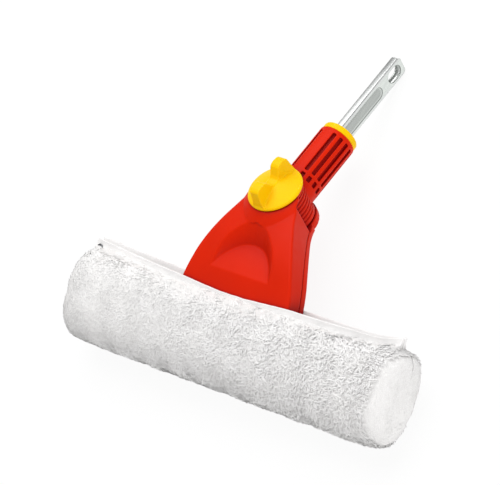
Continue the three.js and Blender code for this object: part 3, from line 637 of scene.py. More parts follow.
# The tongue's plate carries painted shade in its channels and on its side walls
TONGUE_ZINC = zinc_plate("pressed zinc plate", (0.7, 0.715, 0.71), (0.78, 0.795, 0.785), 0.34, 0.42, True)
DARK_METAL = zinc_plate("burnished rim", (0.16, 0.16, 0.17), (0.22, 0.22, 0.23), 0.3, 0.4)
BRASS = zinc_plate("turned brass", (0.6, 0.42, 0.16), (0.72, 0.54, 0.24), 0.3, 0.4)
FLEECE = soft_cloth("fleece backing", (0.84, 0.83, 0.82), (0.79, 0.78, 0.77), 45.0, 900.0, 0.2, 0.1, 0.1)
PILE = soft_cloth("fleece pile", (0.92, 0.91, 0.905), (0.88, 0.87, 0.86), 60.0, 1500.0, 0.05, 0.2, 0.06)
WEBBING = soft_cloth("hem cloth", (0.92, 0.91, 0.905), (0.86, 0.85, 0.845), 60.0, 1800.0, 0.1, 0.05, 0.2)


# Head form

def spine(distance):
    angle = max(distance - SPINE_STRAIGHT, 0) / SPINE_RADIUS
    y = min(distance, SPINE_STRAIGHT) + SPINE_RADIUS * math.sin(angle)
    return angle, y, -SPINE_RADIUS * (1 - math.cos(angle))


def head_form(distance):
    """Half width, front depth, rear depth and crown at a distance along the spine."""
    share = distance / SPINE_LENGTH
    rise = max(share, 0)
    half = HEAD_WIDTH / 2 * float(ease(HEIGHT_SHARES, WIDTH_SHARES, share))
    front = lerp(HEAD_DEPTH / 2, FRONT_PLANE, rise**FRONT_SWELL)
    rear = lerp(HEAD_DEPTH / 2, REAR_PLANE, rise**REAR_SWELL)
    return half, front, rear, lerp(BASE_CROWN, TOP_CROWN, rise)


def face_height(distance):
    """Height of the face above the sleeve at a distance along the spine."""
    angle, y, _ = spine(distance)
    return y + head_form(distance)[1] * math.sin(angle)


def arch_hollow(x, y):
    """Depth of the arched hollow below the face."""
    across = abs(x) / ARCH_HALF
    if across >= 1 or y <= ARCH_FOOT:
        return 0.0
    outer = ARCH_HEIGHT * float(ease(ARCH_ACROSS_SHARES, ARCH_OUTER_SHARES, across))
    inner = ARCH_HEIGHT * float(ease(ARCH_INNER_ACROSS_SHARES, ARCH_INNER_SHARES, across))
    apex = ARCH_HEIGHT * ARCH_INNER_SHARES[0]
    if y >= outer:
        return 0.0
    floor = ARCH_DEPTH * (min(y, inner) - ARCH_FOOT) / (apex - ARCH_FOOT)
    if y <= inner:
        return max(floor, 0.0)
    return max(floor, 0.0) * (outer - y) / max(outer - inner, 1e-6)


def corner_arc(x, z, radius, start, steps=4):
    """Points of a quarter round about a centre, going anticlockwise from a start angle."""
    angles = [start + math.pi / 2 * i / steps for i in range(steps + 1)]
    return [(x + radius * math.cos(a), z + radius * math.sin(a)) for a in angles]


def stand(outline, distance):
    """Stands a flat (x, depth) outline on the spine."""
    angle, y, z = spine(distance)
    return [(x, y + depth * math.sin(angle), z + depth * math.cos(angle)) for x, depth in outline]


def body_ring(distance):
    """A cross-section of the front shell, from the seam to the crowned face."""
    half, front, rear, crown = head_form(distance)
    floor = REAR_EAR - rear + SEAM_GAP / 2
    edge = front - crown
    outline = corner_arc(half - HEAD_CORNER, edge - HEAD_CORNER, HEAD_CORNER, 0)
    height = face_height(distance)
    for i in range(1, FACE_STEPS):
        across = 1 - 2 * i / FACE_STEPS
        x = across * (half - HEAD_CORNER)
        outline.append((x, front - crown * across**2 - arch_hollow(x, height)))
    outline += corner_arc(-half + HEAD_CORNER, edge - HEAD_CORNER, HEAD_CORNER, math.pi / 2)
    outline += corner_arc(-half + SEAM_CORNER, floor + SEAM_CORNER, SEAM_CORNER, math.pi)
    outline += corner_arc(half - SEAM_CORNER, floor + SEAM_CORNER, SEAM_CORNER, 1.5 * math.pi)
    return stand(outline, distance)


def cover_ring(distance):
    """A cross-section of the rear cover, from its back to the seam."""
    half, _, rear, _ = head_form(distance)
    top = REAR_EAR - rear - SEAM_GAP / 2
    outline = corner_arc(half - SEAM_CORNER, top - SEAM_CORNER, SEAM_CORNER, 0)
    outline += corner_arc(-half + SEAM_CORNER, top - SEAM_CORNER, SEAM_CORNER, math.pi / 2)
    outline += corner_arc(-half + HEAD_CORNER, -rear + HEAD_CORNER, HEAD_CORNER, math.pi)
    outline += corner_arc(half - HEAD_CORNER, -rear + HEAD_CORNER, HEAD_CORNER, 1.5 * math.pi)
    return stand(outline, distance)


TO_HEAD = Matrix.Translation((0, JOINT_HEIGHT, -JOINT_SETBACK)) @ Matrix.Rotation(-CRANK, 4, "X")
ALONG_HANDLE = Matrix.Rotation(-math.pi / 2, 4, "X")


def joint_rod(name, radius, low, high):
    return round_bar(name, radius, low, high, turn=TO_HEAD)


def open_for_drum(shell):
    """Cuts the room for the swivel drum and for the socket's swing."""
    combine(shell, joint_rod("drum room", DRUM_RADIUS + 2 * FIT_GAP, -EAR_GAP, EAR_GAP))
    room = block("swing room", (-HEAD_WIDTH, -LIP_DROP, -EAR_GAP), (HEAD_WIDTH, JOINT_HEIGHT, EAR_GAP))
    room.data.transform(TO_HEAD)
    combine(shell, room)


STATIONS = [lerp(-HEAD_FOOT, SPINE_LENGTH, i / HEAD_STATIONS) for i in range(HEAD_STATIONS + 1)]


def head_body():
    shell = loft("head_body_shell", [body_ring(d) for d in STATIONS])
    combine(shell, joint_rod("front ear", HUB_RADIUS, EAR_GAP - EAR_LAP, FRONT_PLANE), "UNION")
    flare = [(HUB_RADIUS + out * HUB_FLARE, FRONT_PLANE - down * HUB_DROP) for out, down in HUB_SHARES]
    hub = spun("hub", [(0, FRONT_PLANE - HUB_DROP), *reversed(flare), (0, FRONT_PLANE)])
    hub.data.transform(TO_HEAD)
    combine(hub, loft("hub walls", [hub_wall(d) for d in STATIONS]), "INTERSECT")
    combine(shell, hub, "UNION")
    beside_arch = [d for d in STATIONS if ARCH_FOOT < face_height(d) < ARCH_TOP]
    combine(shell, loft("arch room", [arch_room(d) for d in beside_arch]))
    open_for_drum(shell)
    voxel(shell, HEAD_VOXEL, relax=5)
    settle(shell, *HEAD, RED, "red_plastic", "head_body")


def arch_room(distance):
    """The room in front of the face: bounded by the hollow's floor, and closed outside the arch."""
    half, front, _, crown = head_form(distance)
    height = face_height(distance)
    low, high = [], []
    for i in range(FACE_STEPS + 1):
        x = ARCH_HALF * (1 - 2 * i / FACE_STEPS)
        hollow = arch_hollow(x, height)
        face = front - crown * (x / half) ** 2
        low.append((x, face - hollow if hollow else face + HUB_DROP))
        high.append((x, face + 2 * HUB_DROP))
    return stand(low + high[::-1], distance)


def hub_wall(distance):
    """The head's outline carried up past its face, which trims the hub's flare at the sides."""
    half, front, rear, _ = head_form(distance)
    floor = REAR_EAR - rear + SEAM_GAP
    side, top = half - HUB_INSET, front + HUB_DROP
    return stand([(side, floor), (side, top), (-side, top), (-side, floor)], distance)


def rear_cover():
    shell = loft("rear_cover_shell", [cover_ring(d) for d in STATIONS])
    combine(shell, joint_rod("rear ear", EAR_RADIUS, -REAR_PLANE, -EAR_GAP), "UNION")
    open_for_drum(shell)
    pocket_floor = -REAR_PLANE + BOLT_POCKET_DEPTH
    combine(shell, joint_rod("bolt pocket", BOLT_POCKET_RADIUS, -REAR_PLANE - CUT_PAST, pocket_floor))
    voxel(shell, HEAD_VOXEL, relax=5)
    settle(shell, *HEAD, RED, "red_plastic", "rear_cover")


# Swivel drum and socket

def drum_profile():
    profile = [(0, -DRUM_HALF)]
    pitch = 2 * DRUM_HALF / DRUM_RINGS
    crest = pitch * RING_CREST_SHARE
    for i in range(DRUM_RINGS):
        low = -DRUM_HALF + i * pitch + (pitch - crest if i else 0)
        high = -DRUM_HALF + (i + 1) * pitch
        profile += [(DRUM_RADIUS, low), (DRUM_RADIUS, high)]
        if i + 1 < DRUM_RINGS:
            floor = DRUM_RADIUS - RING_GROOVE
            profile += [(floor, high + RING_SLOPE), (floor, high + pitch - crest - RING_SLOPE)]
    return profile + [(0, DRUM_HALF)]


def groove_tool(width, length, middle, angle):
    """A round-ended slot cutter lying along the socket."""
    low, high = middle - length / 2, middle + length / 2
    floor, past = SOCKET_RADIUS - FLUTE_DEPTH, SOCKET_RADIUS + CUT_PAST
    tool = block("groove", (-width / 2, low, floor), (width / 2, high, past))
    only(tool)
    bpy.ops.object.mode_set(mode="EDIT")
    bpy.ops.mesh.select_all(action="DESELECT")
    mesh = bmesh.from_edit_mesh(tool.data)
    for edge in mesh.edges:
        a, b = (v.co for v in edge.verts)
        edge.select = abs(a.x - b.x) < 1e-6 and abs(a.y - b.y) < 1e-6
    bmesh.update_edit_mesh(tool.data)
    bpy.ops.mesh.bevel(offset=width / 2 - GROOVE_FLAT, segments=6, affect="EDGES")
    bpy.ops.object.mode_set(mode="OBJECT")
    tool.data.transform(Matrix.Rotation(angle, 4, "Y"))
    return tool


def tongue_room(low, high, edge=0.0):
    """The room for the tongue between two places along the handle, with a gap all round."""
    x, z = TONGUE_THICK / 2 + FIT_GAP, TONGUE_WIDTH / 2 + FIT_GAP
    return block("tongue room", (-x, low, -z), (x, high, z), edge)


def swivel_socket():
    socket = spun("socket_drum", drum_profile())
    clear_of_ears = EAR_RADIUS + 2 * FIT_GAP
    neck = round_bar("neck", SOCKET_RADIUS, 0, SOCKET_LENGTH, turn=ALONG_HANDLE)
    neck_end = clear_of_ears + NECK_LAP
    room = block("neck room", (-SOCKET_RADIUS, 0, -DRUM_HALF), (SOCKET_RADIUS, neck_end, DRUM_HALF))
    combine(neck, room, "INTERSECT")
    combine(socket, neck, "UNION")
    tube = round_bar("tube", SOCKET_RADIUS, clear_of_ears, SOCKET_LENGTH, turn=ALONG_HANDLE)
    combine(socket, tube, "UNION")
    flute_low = SOCKET_LENGTH - FLUTE_FROM_MOUTH - FLUTE_LENGTH
    pocket_middle = flute_low - POCKET_BAND - POCKET_LENGTH / 2
    for side in (-1, 1):
        for i in range(FLUTE_COUNT):
            angle = side * (FLUTE_FIRST + i * FLUTE_PITCH)
            combine(socket, groove_tool(FLUTE_WIDTH, FLUTE_LENGTH, flute_low + FLUTE_LENGTH / 2, angle))
            combine(socket, groove_tool(POCKET_WIDTH, POCKET_LENGTH, pocket_middle, angle))
    voxel(socket, SOCKET_VOXEL, relax=3)
    combine(socket, tongue_room(SOCKET_LENGTH - TONGUE_SEAT, SOCKET_LENGTH + TONGUE_SEAT))
    smooth_by_angle(socket, 50)
    settle(socket, *HANDLE, RED, "red_plastic", "swivel_socket")


def collar_ring():
    low = SOCKET_LENGTH + FIT_GAP / 2
    high = low + COLLAR_LENGTH
    ring = round_bar("collar", COLLAR_RADIUS, low, high, sides=128)
    apply(ring, "BEVEL", width=COLLAR_EDGE, segments=5, limit_method="ANGLE")
    ring.data.transform(ALONG_HANDLE)
    combine(ring, tongue_room(low - CUT_PAST, high + CUT_PAST, TONGUE_SLOT_EDGE))
    smooth_by_angle(ring)
    settle(ring, *HANDLE, YELLOW, "yellow_plastic", "collar_ring")


# Wing knob

WING_OUTLINE_SHARES = (
    (0, 0.5), (0.1, 0.5), (0.15, 0.53), (0.22, 0.62), (0.3, 0.78), (0.38, 0.93), (0.46, 0.985), (0.54, 1),
    (0.66, 1), (0.75, 0.985), (0.84, 0.94), (0.89, 0.88), (0.92, 0.7), (0.94, 0.54), (0.975, 0.25),
    (0.99, 0.1),
)


def wing_half_thick(height):
    """Half of the wing's thickness: nearly even at the top, spreading into the dome at its foot."""
    share = max(1 - height / (WING_HEIGHT * WING_FOOT_SHARE), 0)
    return lerp(WING_THICK, WING_FOOT_THICK, share**WING_FOOT_POWER) / 2


def wing_knob():
    """A domed disc with a saddle-shaped wing along the handle's line."""
    rim = [
        (0, 0), (KNOB_RADIUS - KNOB_EDGE, 0), (KNOB_RADIUS, KNOB_EDGE), (KNOB_RADIUS, KNOB_RIM - KNOB_EDGE),
        (KNOB_RADIUS - KNOB_EDGE, KNOB_RIM),
    ]
    rise = DOME_HEIGHT - KNOB_RIM
    for i in range(1, KNOB_STEPS + 1):
        reach = 1 - i / KNOB_STEPS
        rim.append(((KNOB_RADIUS - KNOB_EDGE) * reach, KNOB_RIM + rise * (1 - reach**KNOB_DOME_POWER)))
    knob = spun("knob", rim)
    outline = [(s * (KNOB_RADIUS - KNOB_EDGE), t * WING_HEIGHT) for s, t in WING_OUTLINE_SHARES]
    rings = []
    for y, top in [(-s, t) for s, t in outline[:0:-1]] + outline:
        heights = [top * k / WING_LEVELS for k in range(WING_LEVELS + 1)]
        left = [(-wing_half_thick(h), y, h + WING_LIFT) for h in heights]
        rings.append(left + [(-x, y, z) for x, y, z in reversed(left)])
    combine(knob, loft("wing", rings), "UNION")
    voxel(knob, KNOB_VOXEL, relax=4)
    knob.data.transform(Matrix.Translation((0, 0, KNOB_BASE)))
    settle(knob, JOINT_FRAME, "knob", YELLOW, "yellow_plastic", "wing_knob")


# Steel tongue

def steel_tongue():
    """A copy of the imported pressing, merged, with its edges rounded."""
    source = frame["nodes"]["steel_tongue"]
    tongue = source.copy()
    tongue.data = source.data.copy()
    tongue.name = "steel_tongue_dressed"
    tongue.parent = None
    for key in list(tongue.keys()):
        del tongue[key]
    bpy.context.collection.objects.link(tongue)
    only(tongue)
    bpy.ops.object.mode_set(mode="EDIT")
    bpy.ops.mesh.select_all(action="SELECT")
    bpy.ops.mesh.remove_doubles(threshold=1e-6)
    bpy.ops.mesh.dissolve_limited(angle_limit=math.radians(1))
    bpy.ops.object.mode_set(mode="OBJECT")
    fold = math.radians(32)
    apply(tongue, "BEVEL", width=TONGUE_EDGE * MM, segments=2, limit_method="ANGLE", angle_limit=fold)
    smooth_by_angle(tongue, 40)
    settle(tongue, Matrix(), "handle", TONGUE_ZINC, "zinc_steel", "steel_tongue")


# Fleece sleeve

def slit_at(x):
    """Half of the slit's width at a distance along the bar, and how far its middle is set back."""
    end_gap = (SNAP_END_GAP if x < 0 else SEWN_END_GAP) / 2
    t = min(max((abs(x) - SLIT_STRAIGHT) / (SLIT_REACH - SLIT_STRAIGHT), 0), 1)
    out = t * t * (3 - 2 * t)
    return lerp(SLIT_AT_HEAD, end_gap, out), SLEEVE_SETBACK * out


def hem_top(x, side):
    """Height of a hem's top edge: low at the head, rising towards the ends."""
    shares = HEM_FRONT_SHARES if side > 0 else HEM_REAR_SHARES
    place = min(max(x / SLEEVE_REACH, -1), 1)
    return SLIT_FOOT + HEM_HEIGHT * float(ease(HEM_PLACE_SHARES, shares, place))


def end_share(x):
    """How full the section still is towards a domed end."""
    rounding, bulge = LEFT_END if x < 0 else RIGHT_END
    out = (abs(x) - SLEEVE_REACH + rounding) / (rounding + bulge)
    return (1 - min(max(out, 0), DOME_TIP_SHARE) ** DOME_POWER) ** (1 / DOME_ROOT)


def lump(x, angle):
    """Soft lumps of the stuffed pile, none at the back that the sleeve rests on."""
    broad = np.sin(2 * math.pi * x / LUMP_PITCHES[0] + 3 * angle)
    narrow = np.cos(2 * math.pi * x / LUMP_PITCHES[1] - 2 * angle)
    return LUMP_DEPTH * (broad + narrow) * (1 + np.sin(angle)) / 4


def section(x, count, inset):
    """The sleeve's outline at a place along the bar, from the front hem round to the rear hem.

    Evenly spaced points drawn in by the inset, which fades out at the hems."""
    half, back = slit_at(x)
    share = end_share(x)
    angle = np.linspace(0, 2 * math.pi, SECTION_STEPS + 1)
    power = 2 / SLEEVE_POWER
    swell = lump(x, angle)
    up, out = np.cos(angle), np.sin(angle)
    level = (SLEEVE_HEIGHT / 2 + swell) * np.sign(up) * abs(up) ** power - SLEEVE_HEIGHT / 2
    y = (level + END_PIVOT) * share**END_HEIGHT_POWER - END_PIVOT
    z = (SLEEVE_THICK / 2 + swell) * share * np.sign(out) * abs(out) ** power - SLEEVE_SETBACK
    opening = half + HEM_THICK
    away = np.maximum(abs(z + back) - opening, 0)
    tops = np.where(out > 0, hem_top(x, 1), hem_top(x, -1))
    y = np.minimum(y, tops - HEM_BAND - SHOULDER_SLOPE * away + HEM_FILLET * np.exp(-away / HEM_FILLET))
    if abs(x) <= SLEEVE_REACH:
        kept = (abs(z + back) > opening) | (y < -END_PIVOT)
        y, z = y[kept], z[kept]
    for _ in range(SECTION_PASSES):
        y[1:-1] = (y[:-2] + 2 * y[1:-1] + y[2:]) / 4
        z[1:-1] = (z[:-2] + 2 * z[1:-1] + z[2:]) / 4
    run = np.concatenate([[0], np.cumsum(np.hypot(np.diff(y), np.diff(z)))])
    at = np.linspace(0, run[-1], count)
    y, z = np.interp(at, run, y), np.interp(at, run, z)
    along_y, along_z = np.gradient(y), np.gradient(z)
    size = np.maximum(np.hypot(along_y, along_z), 1e-9)
    fade = 1
    if abs(x) <= SLEEVE_REACH:
        fade = np.clip(np.minimum(at, run[-1] - at) / HEM_FADE, HEM_FADE_LEAST, 1)
    return y - inset * fade * along_z / size, z + inset * fade * along_y / size


def drawn_in(x):
    """Moves a place on a dome inwards, so that the dome's tip too leaves room for the pile."""
    bulge = (LEFT_END if x < 0 else RIGHT_END)[1]
    past = max(abs(x) - SLEEVE_REACH, 0)
    return math.copysign(min(abs(x), SLEEVE_REACH) + past * (bulge - PILE_DEPTH) / bulge, x)


def skin_points(xs, count):
    """Points and outward directions of the backing at places along the bar."""
    rows = []
    for x in xs:
        y, z = section(x, count, PILE_DEPTH * end_share(x))
        rows.append(np.stack([np.full(count, drawn_in(x)), y, z], axis=1))
    points = np.array(rows)
    out = np.cross(np.gradient(points, axis=1), np.gradient(points, axis=0))
    out /= np.maximum(np.linalg.norm(out, axis=2, keepdims=True), 1e-9)
    middle = np.array([0, -SLEEVE_HEIGHT / 2, -SLEEVE_SETBACK])
    flip = np.sum(out * (points - middle) * [0, 1, 1], axis=2, keepdims=True)
    return points, out * np.where(flip < 0, -1, 1)


def fine_lump(point):
    """Smaller soft unevenness, from one clump of pile to the next."""
    return FINE_LUMP * noise.noise(point / FINE_LUMP_SIZE)


def gather(x):
    """How strongly the cloth is drawn in at a place along a hem: unevenly, once in each pitch."""
    amount, size = PUCKER_DRIFT
    drift = amount * noise.noise(Vector((x / size, 0, 7)))
    least, spread, size = PUCKER_STRENGTH
    strength = least + spread * noise.noise(Vector((x / size, 4, 1)))
    return strength * max(math.cos(2 * math.pi * (x / PUCKER_PITCH + drift)), 0) ** PUCKER_POWER


def stuffed(name, xs, count):
    """A closed skin over places along the bar, softly uneven."""
    points, out = skin_points(xs, count)
    rings = []
    for row, normals in zip(points, out):
        pairs = [(Vector(p), Vector(n)) for p, n in zip(row, normals)]
        rings.append([p + n * fine_lump(p) * FINE_LUMP_SHARE for p, n in pairs])
    return loft(name, rings)


def sleeve_skin():
    """The stuffed tube under the pile, hollow for the bar and slit along its top."""
    count, around = SKIN_COUNTS
    skin = stuffed("fleece_backing", np.linspace(-SLEEVE_REACH, SLEEVE_REACH, count), around)
    combine(skin, block("bar room", (-BAR_HALF, BAR_LOW, BAR_REAR), (BAR_HALF, BAR_TOP, BAR_FRONT)))
    slit = []
    low, high = BAR_TOP - SLIT_LAP, HEM_HEIGHT
    for x in np.linspace(-SLIT_REACH, SLIT_REACH, SLIT_STATIONS):
        half, back = slit_at(x)
        near, far = -back - half, -back + half
        slit.append([(x, low, near), (x, high, near), (x, high, far), (x, low, far)])
    combine(skin, loft("slit room", slit))
    smooth_by_angle(skin, 60)
    settle(skin, *HEAD, FLEECE, "fleece", "fleece_sleeve")


def dome_places(side, count):
    """Places along the bar from the tube's end to the dome's tip, closer together at the tip."""
    bulge = (LEFT_END if side < 0 else RIGHT_END)[1]
    shares = np.sin(np.linspace(0, math.pi / 2, count))
    return side * (SLEEVE_REACH + DOME_START + (bulge - DOME_LOSS) * shares)


def end_panel(name, side):
    """The soft dome that closes an end of the sleeve."""
    count, around = DOME_COUNTS
    panel = stuffed(name, dome_places(side, count), around)
    smooth(panel)
    node_name = "sleeve_end_left" if side < 0 else "sleeve_end_right"
    settle(panel, *HEAD, FLEECE, "fleece", node_name)


def strand_form(draw, curl, rise, flat):
    """One strand of pile, one long: three-sided rings along a middle line that rises, lies over and curls."""
    twist = draw.uniform(*TWIST)
    phase = draw.uniform(0, 2 * math.pi)
    reach = math.sqrt(1 - rise**2)
    last = len(STRAND_WIDTH_SHARES) - 1
    points = []
    for k, wide in enumerate(STRAND_WIDTH_SHARES):
        t = k / last
        swing = curl * t
        ahead = reach * t**LAY_POWER + swing * (math.cos(phase + twist * t) - math.cos(phase))
        aside = swing * (math.sin(phase + twist * t) - math.sin(phase))
        up = rise * math.sin(math.pi / 2 * t)
        radius = STRAND_WIDTH / STRAND_LENGTH / 2 * wide
        for i in range(STRAND_SIDES):
            angle = 2 * math.pi * i / STRAND_SIDES
            slant = reach * t
            points.append((
                ahead + radius * math.cos(angle) * (1 - slant), aside + radius * math.sin(angle),
                up - flat * radius * slant * math.cos(angle),
            ))
    return points


def strand_faces():
    """The faces of one strand, each a row of four point numbers."""
    faces = []
    for k in range(len(STRAND_WIDTH_SHARES) - 1):
        for i in range(STRAND_SIDES):
            a, b = k * STRAND_SIDES + i, k * STRAND_SIDES + (i + 1) % STRAND_SIDES
            faces.append((a, b, b + STRAND_SIDES, a + STRAND_SIDES))
    return np.array(faces)


def plant(name, forms, roots, frames, lengths, choice, crisp):
    """One mesh of many strands, each a form turned by its frame, scaled and set on its root.

    Their shading leans towards that of the skin below, as a soft pile's does."""
    shaped = forms[choice] * lengths[:, None, None]
    points = roots[:, None, :] + np.einsum("nij,nkj->nki", frames, shaped)
    size = forms.shape[1]
    faces = (strand_faces()[None, :, :] + size * np.arange(len(roots))[:, None, None]).reshape(-1, 4)
    mesh = bpy.data.meshes.new(name)
    mesh.vertices.add(len(roots) * size)
    mesh.vertices.foreach_set("co", points.ravel())
    mesh.loops.add(faces.size)
    mesh.loops.foreach_set("vertex_index", faces.ravel())
    mesh.polygons.add(len(faces))
    mesh.polygons.foreach_set("loop_start", np.arange(0, faces.size, 4))
    mesh.update(calc_edges=True)
    obj = added(name, mesh)
    smooth(obj)
    own = np.empty(len(roots) * size * 3)
    mesh.vertex_normals.foreach_get("vector", own)
    own = own.reshape(-1, 3)
    skin = np.repeat(frames[:, :, 2], size, axis=0)
    crisp = np.repeat(crisp, size)[:, None]
    mixed = skin * (1 - crisp) + own * crisp
    mixed /= np.linalg.norm(mixed, axis=1, keepdims=True)
    mesh.normals_split_custom_set_from_vertices(mixed.tolist())
    return obj


def lying(normal, lean):
    """A frame on the skin: its first axis lies the way that the pile leans, its third stands out."""
    side = normal.cross(lean).normalized()
    ahead = side.cross(normal)
    return [[ahead[n], side[n], normal[n]] for n in range(3)]


def pile_roots(spacing, draw):
    """Evenly scattered places all over the skin: (point, outward direction, distance from a hem)."""
    tube = np.arange(-SLEEVE_REACH, SLEEVE_REACH, spacing)
    xs = np.concatenate([dome_places(-1, DOME_ROWS), tube, dome_places(1, DOME_ROWS)])
    table, out = skin_points(xs, ROOT_STEPS + 1)
    found = []
    passed = spacing
    for row, x in enumerate(xs):
        on_dome = abs(x) > SLEEVE_REACH
        before = table[row - 1] if row else table[row]
        passed += np.linalg.norm(table[row] - before, axis=1).max() if on_dome else spacing
        if passed < spacing:
            continue
        passed = 0
        run = np.linalg.norm(np.diff(table[row], axis=0), axis=1).sum()
        count = max(int(run / spacing), 3)
        for k in range(count):
            along = k + 0.5 * (row % 2) + draw.uniform(-ROOT_JITTER, ROOT_JITTER)
            place = min(max(along / count, 0), 1)
            i = int(round(place * ROOT_STEPS))
            shift = Vector()
            if not on_dome:
                shift.x = draw.uniform(-ROOT_JITTER, ROOT_JITTER) * spacing
            from_hem = run if on_dome else min(place, 1 - place) * run
            found.append((Vector(table[row][i]) + shift, Vector(out[row][i]), from_hem))
    return found


def pile():
    """Strands all over the sleeve, gathered into tufts, short beside the hems."""
    noise.seed_set(SWAY_SEED)
    draw = np.random.default_rng(PILE_SEED)
    forms = []
    for i in range(STRAND_FORMS):
        share = i / (STRAND_FORMS - 1)
        curl, rise, flat = (lerp(*pair, share) for pair in (CURL_SHARES, RISE_SHARES, FLAT_SHARES))
        forms.append(strand_form(draw, curl, rise, flat))
    forms = np.array(forms)
    tufts = pile_roots(TUFT_SPACING, draw)
    tree = kdtree.KDTree(len(tufts))
    for i, (point, _, _) in enumerate(tufts):
        tree.insert(point, i)
    tree.balance()
    rows = []
    middle = Vector((0, -SLEEVE_HEIGHT / 2, -SLEEVE_SETBACK))
    for root, normal, from_hem in pile_roots(STRAND_SPACING, draw):
        centre, _, away = tree.find(root)
        rim = min(away / TUFT_SPACING * TUFT_RIM_RATE, 1)
        swirl = noise.noise_vector(root / SWAY_SIZE + Vector(SWAY_PLACE))
        stray = Vector(draw.uniform(-1, 1, 3))
        grown = min(GROWN_AT_HEM + from_hem / GROWN_REACH, 1)
        open_pile = min(OPEN_AT_HEM + from_hem / OPEN_REACH, 1)
        if abs(normal.x) > DOME_FACING:
            lean = DOME_LEAN * ((root - middle) * Vector((0, 1, 1))).normalized() + swirl + stray
            length = STRAND_LENGTH * draw.uniform(*DOME_LENGTH_SHARES)
            form = int(draw.integers(STRAND_FORMS // 3))
            crisp = DOME_CRISP
        else:
            rightward = 0.5 + 0.5 * max(min(root.x / SLEEVE_REACH, 1), -1)
            to_tuft = (centre - root) / TUFT_SPACING
            lean = to_tuft * lerp(*TUFT_LEAN_SHARES, rightward) + swirl + STRAY_SHARE * stray
            lean += Vector((0, HEM_LEAN * math.exp(-from_hem / HEM_LEAN_REACH), 0))
            length = STRAND_LENGTH * grown * (1 - TUFT_RIM_LOSS * rim) * draw.uniform(*LENGTH_SPREAD)
            length *= lerp(*LENGTH_SHARES, rightward)
            crisp = lerp(*CRISP_SHARES, rightward**2) * open_pile
            pick = rightward * FORM_SLOPE * open_pile + draw.uniform(0, FORM_SPREAD)
            form = int(STRAND_FORMS * min(pick, LAST_FORM_SHARE))
            if root.x > SLEEVE_REACH - FRINGE_WIDTH:
                lean += Vector((FRINGE_LEAN, 0, 0))
                crisp = DOME_CRISP
        fold = math.exp(-((from_hem - PUCKER_PLACE) / PUCKER_HALF) ** 2)
        dent = PUCKER_IN_PILE * PUCKER_DEPTH * gather(root.x) * fold
        out = FINE_LUMP_SHARE * fine_lump(root) - dent - ROOT_DEPTH
        rows.append((tuple(root + normal * out), lying(normal, lean), length, form, crisp))
    rows.sort(key=lambda row: row[0][0])
    roots, frames, lengths, choice, crisp = (np.array(column) for column in zip(*rows))
    for p, mine in enumerate(np.array_split(np.arange(len(rows)), PILE_PIECES)):
        own = [column[mine] for column in (roots, frames, lengths, choice, crisp)]
        settle(plant(f"pile_{p + 1}", forms, *own), *HEAD, PILE, "fleece")


def press_stud():
    """The stud's cap: a dark rolled rim round a paler dished middle."""
    bpy.ops.mesh.primitive_torus_add(
        major_segments=48, minor_segments=12, major_radius=SNAP_RADIUS - SNAP_RIM, minor_radius=SNAP_RIM,
        location=(SNAP_X, SNAP_Y, SNAP_FACE),
    )
    rim = bpy.context.object
    rim.name = "snap_rim"
    bpy.ops.object.transform_apply()
    smooth(rim)
    settle(rim, *HEAD, DARK_METAL, "zinc_steel", "snap_cap")
    low, high = SNAP_FACE - SNAP_DISH_DEPTH, SNAP_FACE - SNAP_DISH_DROP
    dish = round_bar("snap_dish", SNAP_RADIUS - SNAP_RIM, low, high, sides=48)
    apply(dish, "BEVEL", width=SNAP_RIM / 2, segments=3, limit_method="ANGLE")
    dish.data.transform(Matrix.Translation((SNAP_X, SNAP_Y, 0)))
    smooth_by_angle(dish)
    settle(dish, *HEAD, ZINC, "zinc_steel", "snap_cap")


def hem(name, side):
    """A soft sewn band along one edge of the slit, its top edge rolled and its foot puckered."""
    rings = []
    for x in np.linspace(-SLEEVE_REACH, SLEEVE_REACH, HEM_STATIONS):
        half, back = slit_at(x)
        top = hem_top(x, side) + HEM_WAVE * noise.noise(Vector((x / HEM_TOP_PITCH, side, 0)))
        if side > 0 and abs(x) < HEM_DIP_REACH:
            top -= HEM_DIP * math.cos(math.pi / 2 * x / HEM_DIP_REACH) ** 2
        inner = -back + side * (half + HEM_WAVE * noise.noise(Vector((x / HEM_SIDE_PITCH, 5 + side, 2))))
        pucker = PUCKER_DEPTH * gather(x)
        foot = min(SLIT_FOOT - HEM_FOOT_DROP, top - HEM_BAND - HEM_TUCK)
        outline = [(foot, 0)]
        for drop, out, roll, dent in HEM_SECTION:
            outline.append((top - drop, out + roll * HEM_ROLL - dent * pucker))
        outline.append((foot, HEM_THICK))
        rings.append([(x, y, inner + side * z) for y, z in outline])
    band = loft(name + "_band", rings)
    apply(band, "SUBSURF", levels=1, render_levels=1)
    smooth(band)
    settle(band, *HEAD, WEBBING, "webbing", name)


# Camera, light and floor

def camera():
    azimuth, elevation = CAMERA_AZIMUTH, CAMERA_ELEVATION
    back = Vector((
        math.cos(elevation) * math.sin(azimuth), -math.cos(elevation) * math.cos(azimuth), math.sin(elevation)
    ))
    level = Vector((math.cos(azimuth), math.sin(azimuth), 0))
    right = Matrix.Rotation(CAMERA_ROLL, 3, back) @ level
    up = back.cross(right)
    turn = Matrix((right, up, back)).transposed().to_4x4()
    data = bpy.data.cameras.new("camera")
    data.lens = CAMERA_LENS
    data.sensor_width = CAMERA_SENSOR
    obj = added("camera", data)
    obj.matrix_world = Matrix.Translation(CAMERA_AIM + back * CAMERA_DISTANCE) @ turn
    bpy.context.scene.camera = obj
    return right, up, back


RIGHT, UP, BACK = camera()


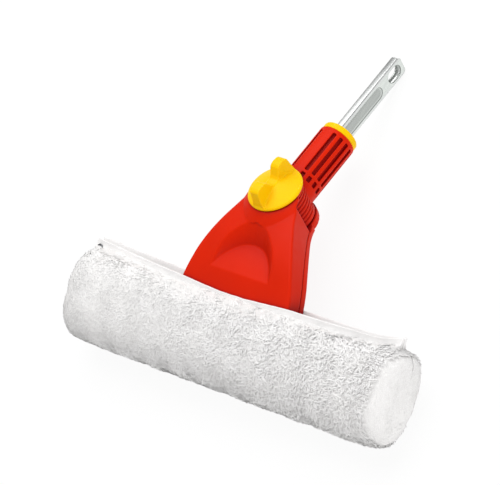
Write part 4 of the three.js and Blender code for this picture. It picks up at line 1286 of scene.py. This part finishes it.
def soft_lamp(name, aim, distance, size, power):
    """A large square lamp that faces the object."""
    data = bpy.data.lights.new(name, "AREA")
    data.size = size
    data.energy = power
    obj = added(name, data)
    direction = aim[0] * RIGHT + aim[1] * UP + aim[2] * BACK
    obj.location = CAMERA_AIM + direction.normalized() * distance
    obj.rotation_euler = direction.to_track_quat("Z", "Y").to_euler()


def white_world():
    """An even dim light all round that the camera alone sees as white."""
    world = bpy.data.worlds.new("studio")
    world.use_nodes = True
    bpy.context.scene.world = world
    tree = world.node_tree
    seen = node(tree, "LightPath").outputs
    mirrored = ranged(tree, seen["Is Glossy Ray"], 0.0, 1.0, AMBIENT, MIRRORED)
    strength = ranged(tree, seen["Is Camera Ray"], 0.0, 1.0, mirrored, 1.0)
    feed(tree, tree.nodes["Background"], {"Color": (1, 1, 1, 1), "Strength": strength})


def floor():
    bpy.ops.mesh.primitive_plane_add(size=FLOOR_SIZE, location=(0, 0, -FLOOR_DROP))
    plane = bpy.context.object
    plane.name = "floor"
    material, tree, shader = new_material("white floor")
    feed(tree, shader, {"Base Color": (FLOOR_WHITE, FLOOR_WHITE, FLOOR_WHITE, 1), "Roughness": 0.9})
    seen = node(tree, "LightPath").outputs["Is Camera Ray"]
    glow = node(tree, "Emission", Color=(1, 1, 1, 1), Strength=1.0)
    show_mix(tree, ranged(tree, seen, 0.0, 1.0, FLOOR_GLOW, FLOOR_GLOW_SEEN), shader, glow)
    plane.data.materials.append(material)


bpy.context.scene.view_settings.view_transform = "Standard"
white_world()
floor()
soft_lamp("key", KEY_AIM, KEY_DISTANCE, KEY_SIZE, KEY_POWER)
soft_lamp("fill", FILL_AIM, FILL_DISTANCE, FILL_SIZE, FILL_POWER)

head_body()
rear_cover()
swivel_socket()
collar_ring()
wing_knob()
steel_tongue()
sleeve_skin()
end_panel("end_panel_left", -1)
end_panel("end_panel_right", 1)
pile()
press_stud()
hem("hem_front", 1)
hem("hem_rear", -1)

DRESSED = (
    (ZINC, ("pivot_bolt", "thrust_washer", "snap_cap", "snap_socket", "snap_stud", "snap_ring")),
    (ZINC, ("head_screw_left", "head_screw_right", "head_screw_top")),
    (BLACK, ("friction_disc_front", "friction_disc_rear")),
    (BRASS, ("knob_insert",)),
    (GREY, ("carrier_bar", "bar_cap_left", "bar_cap_right")),
)
for material, names in DRESSED:
    for name in names:
        frame["nodes"][name].material_slots[0].material = material
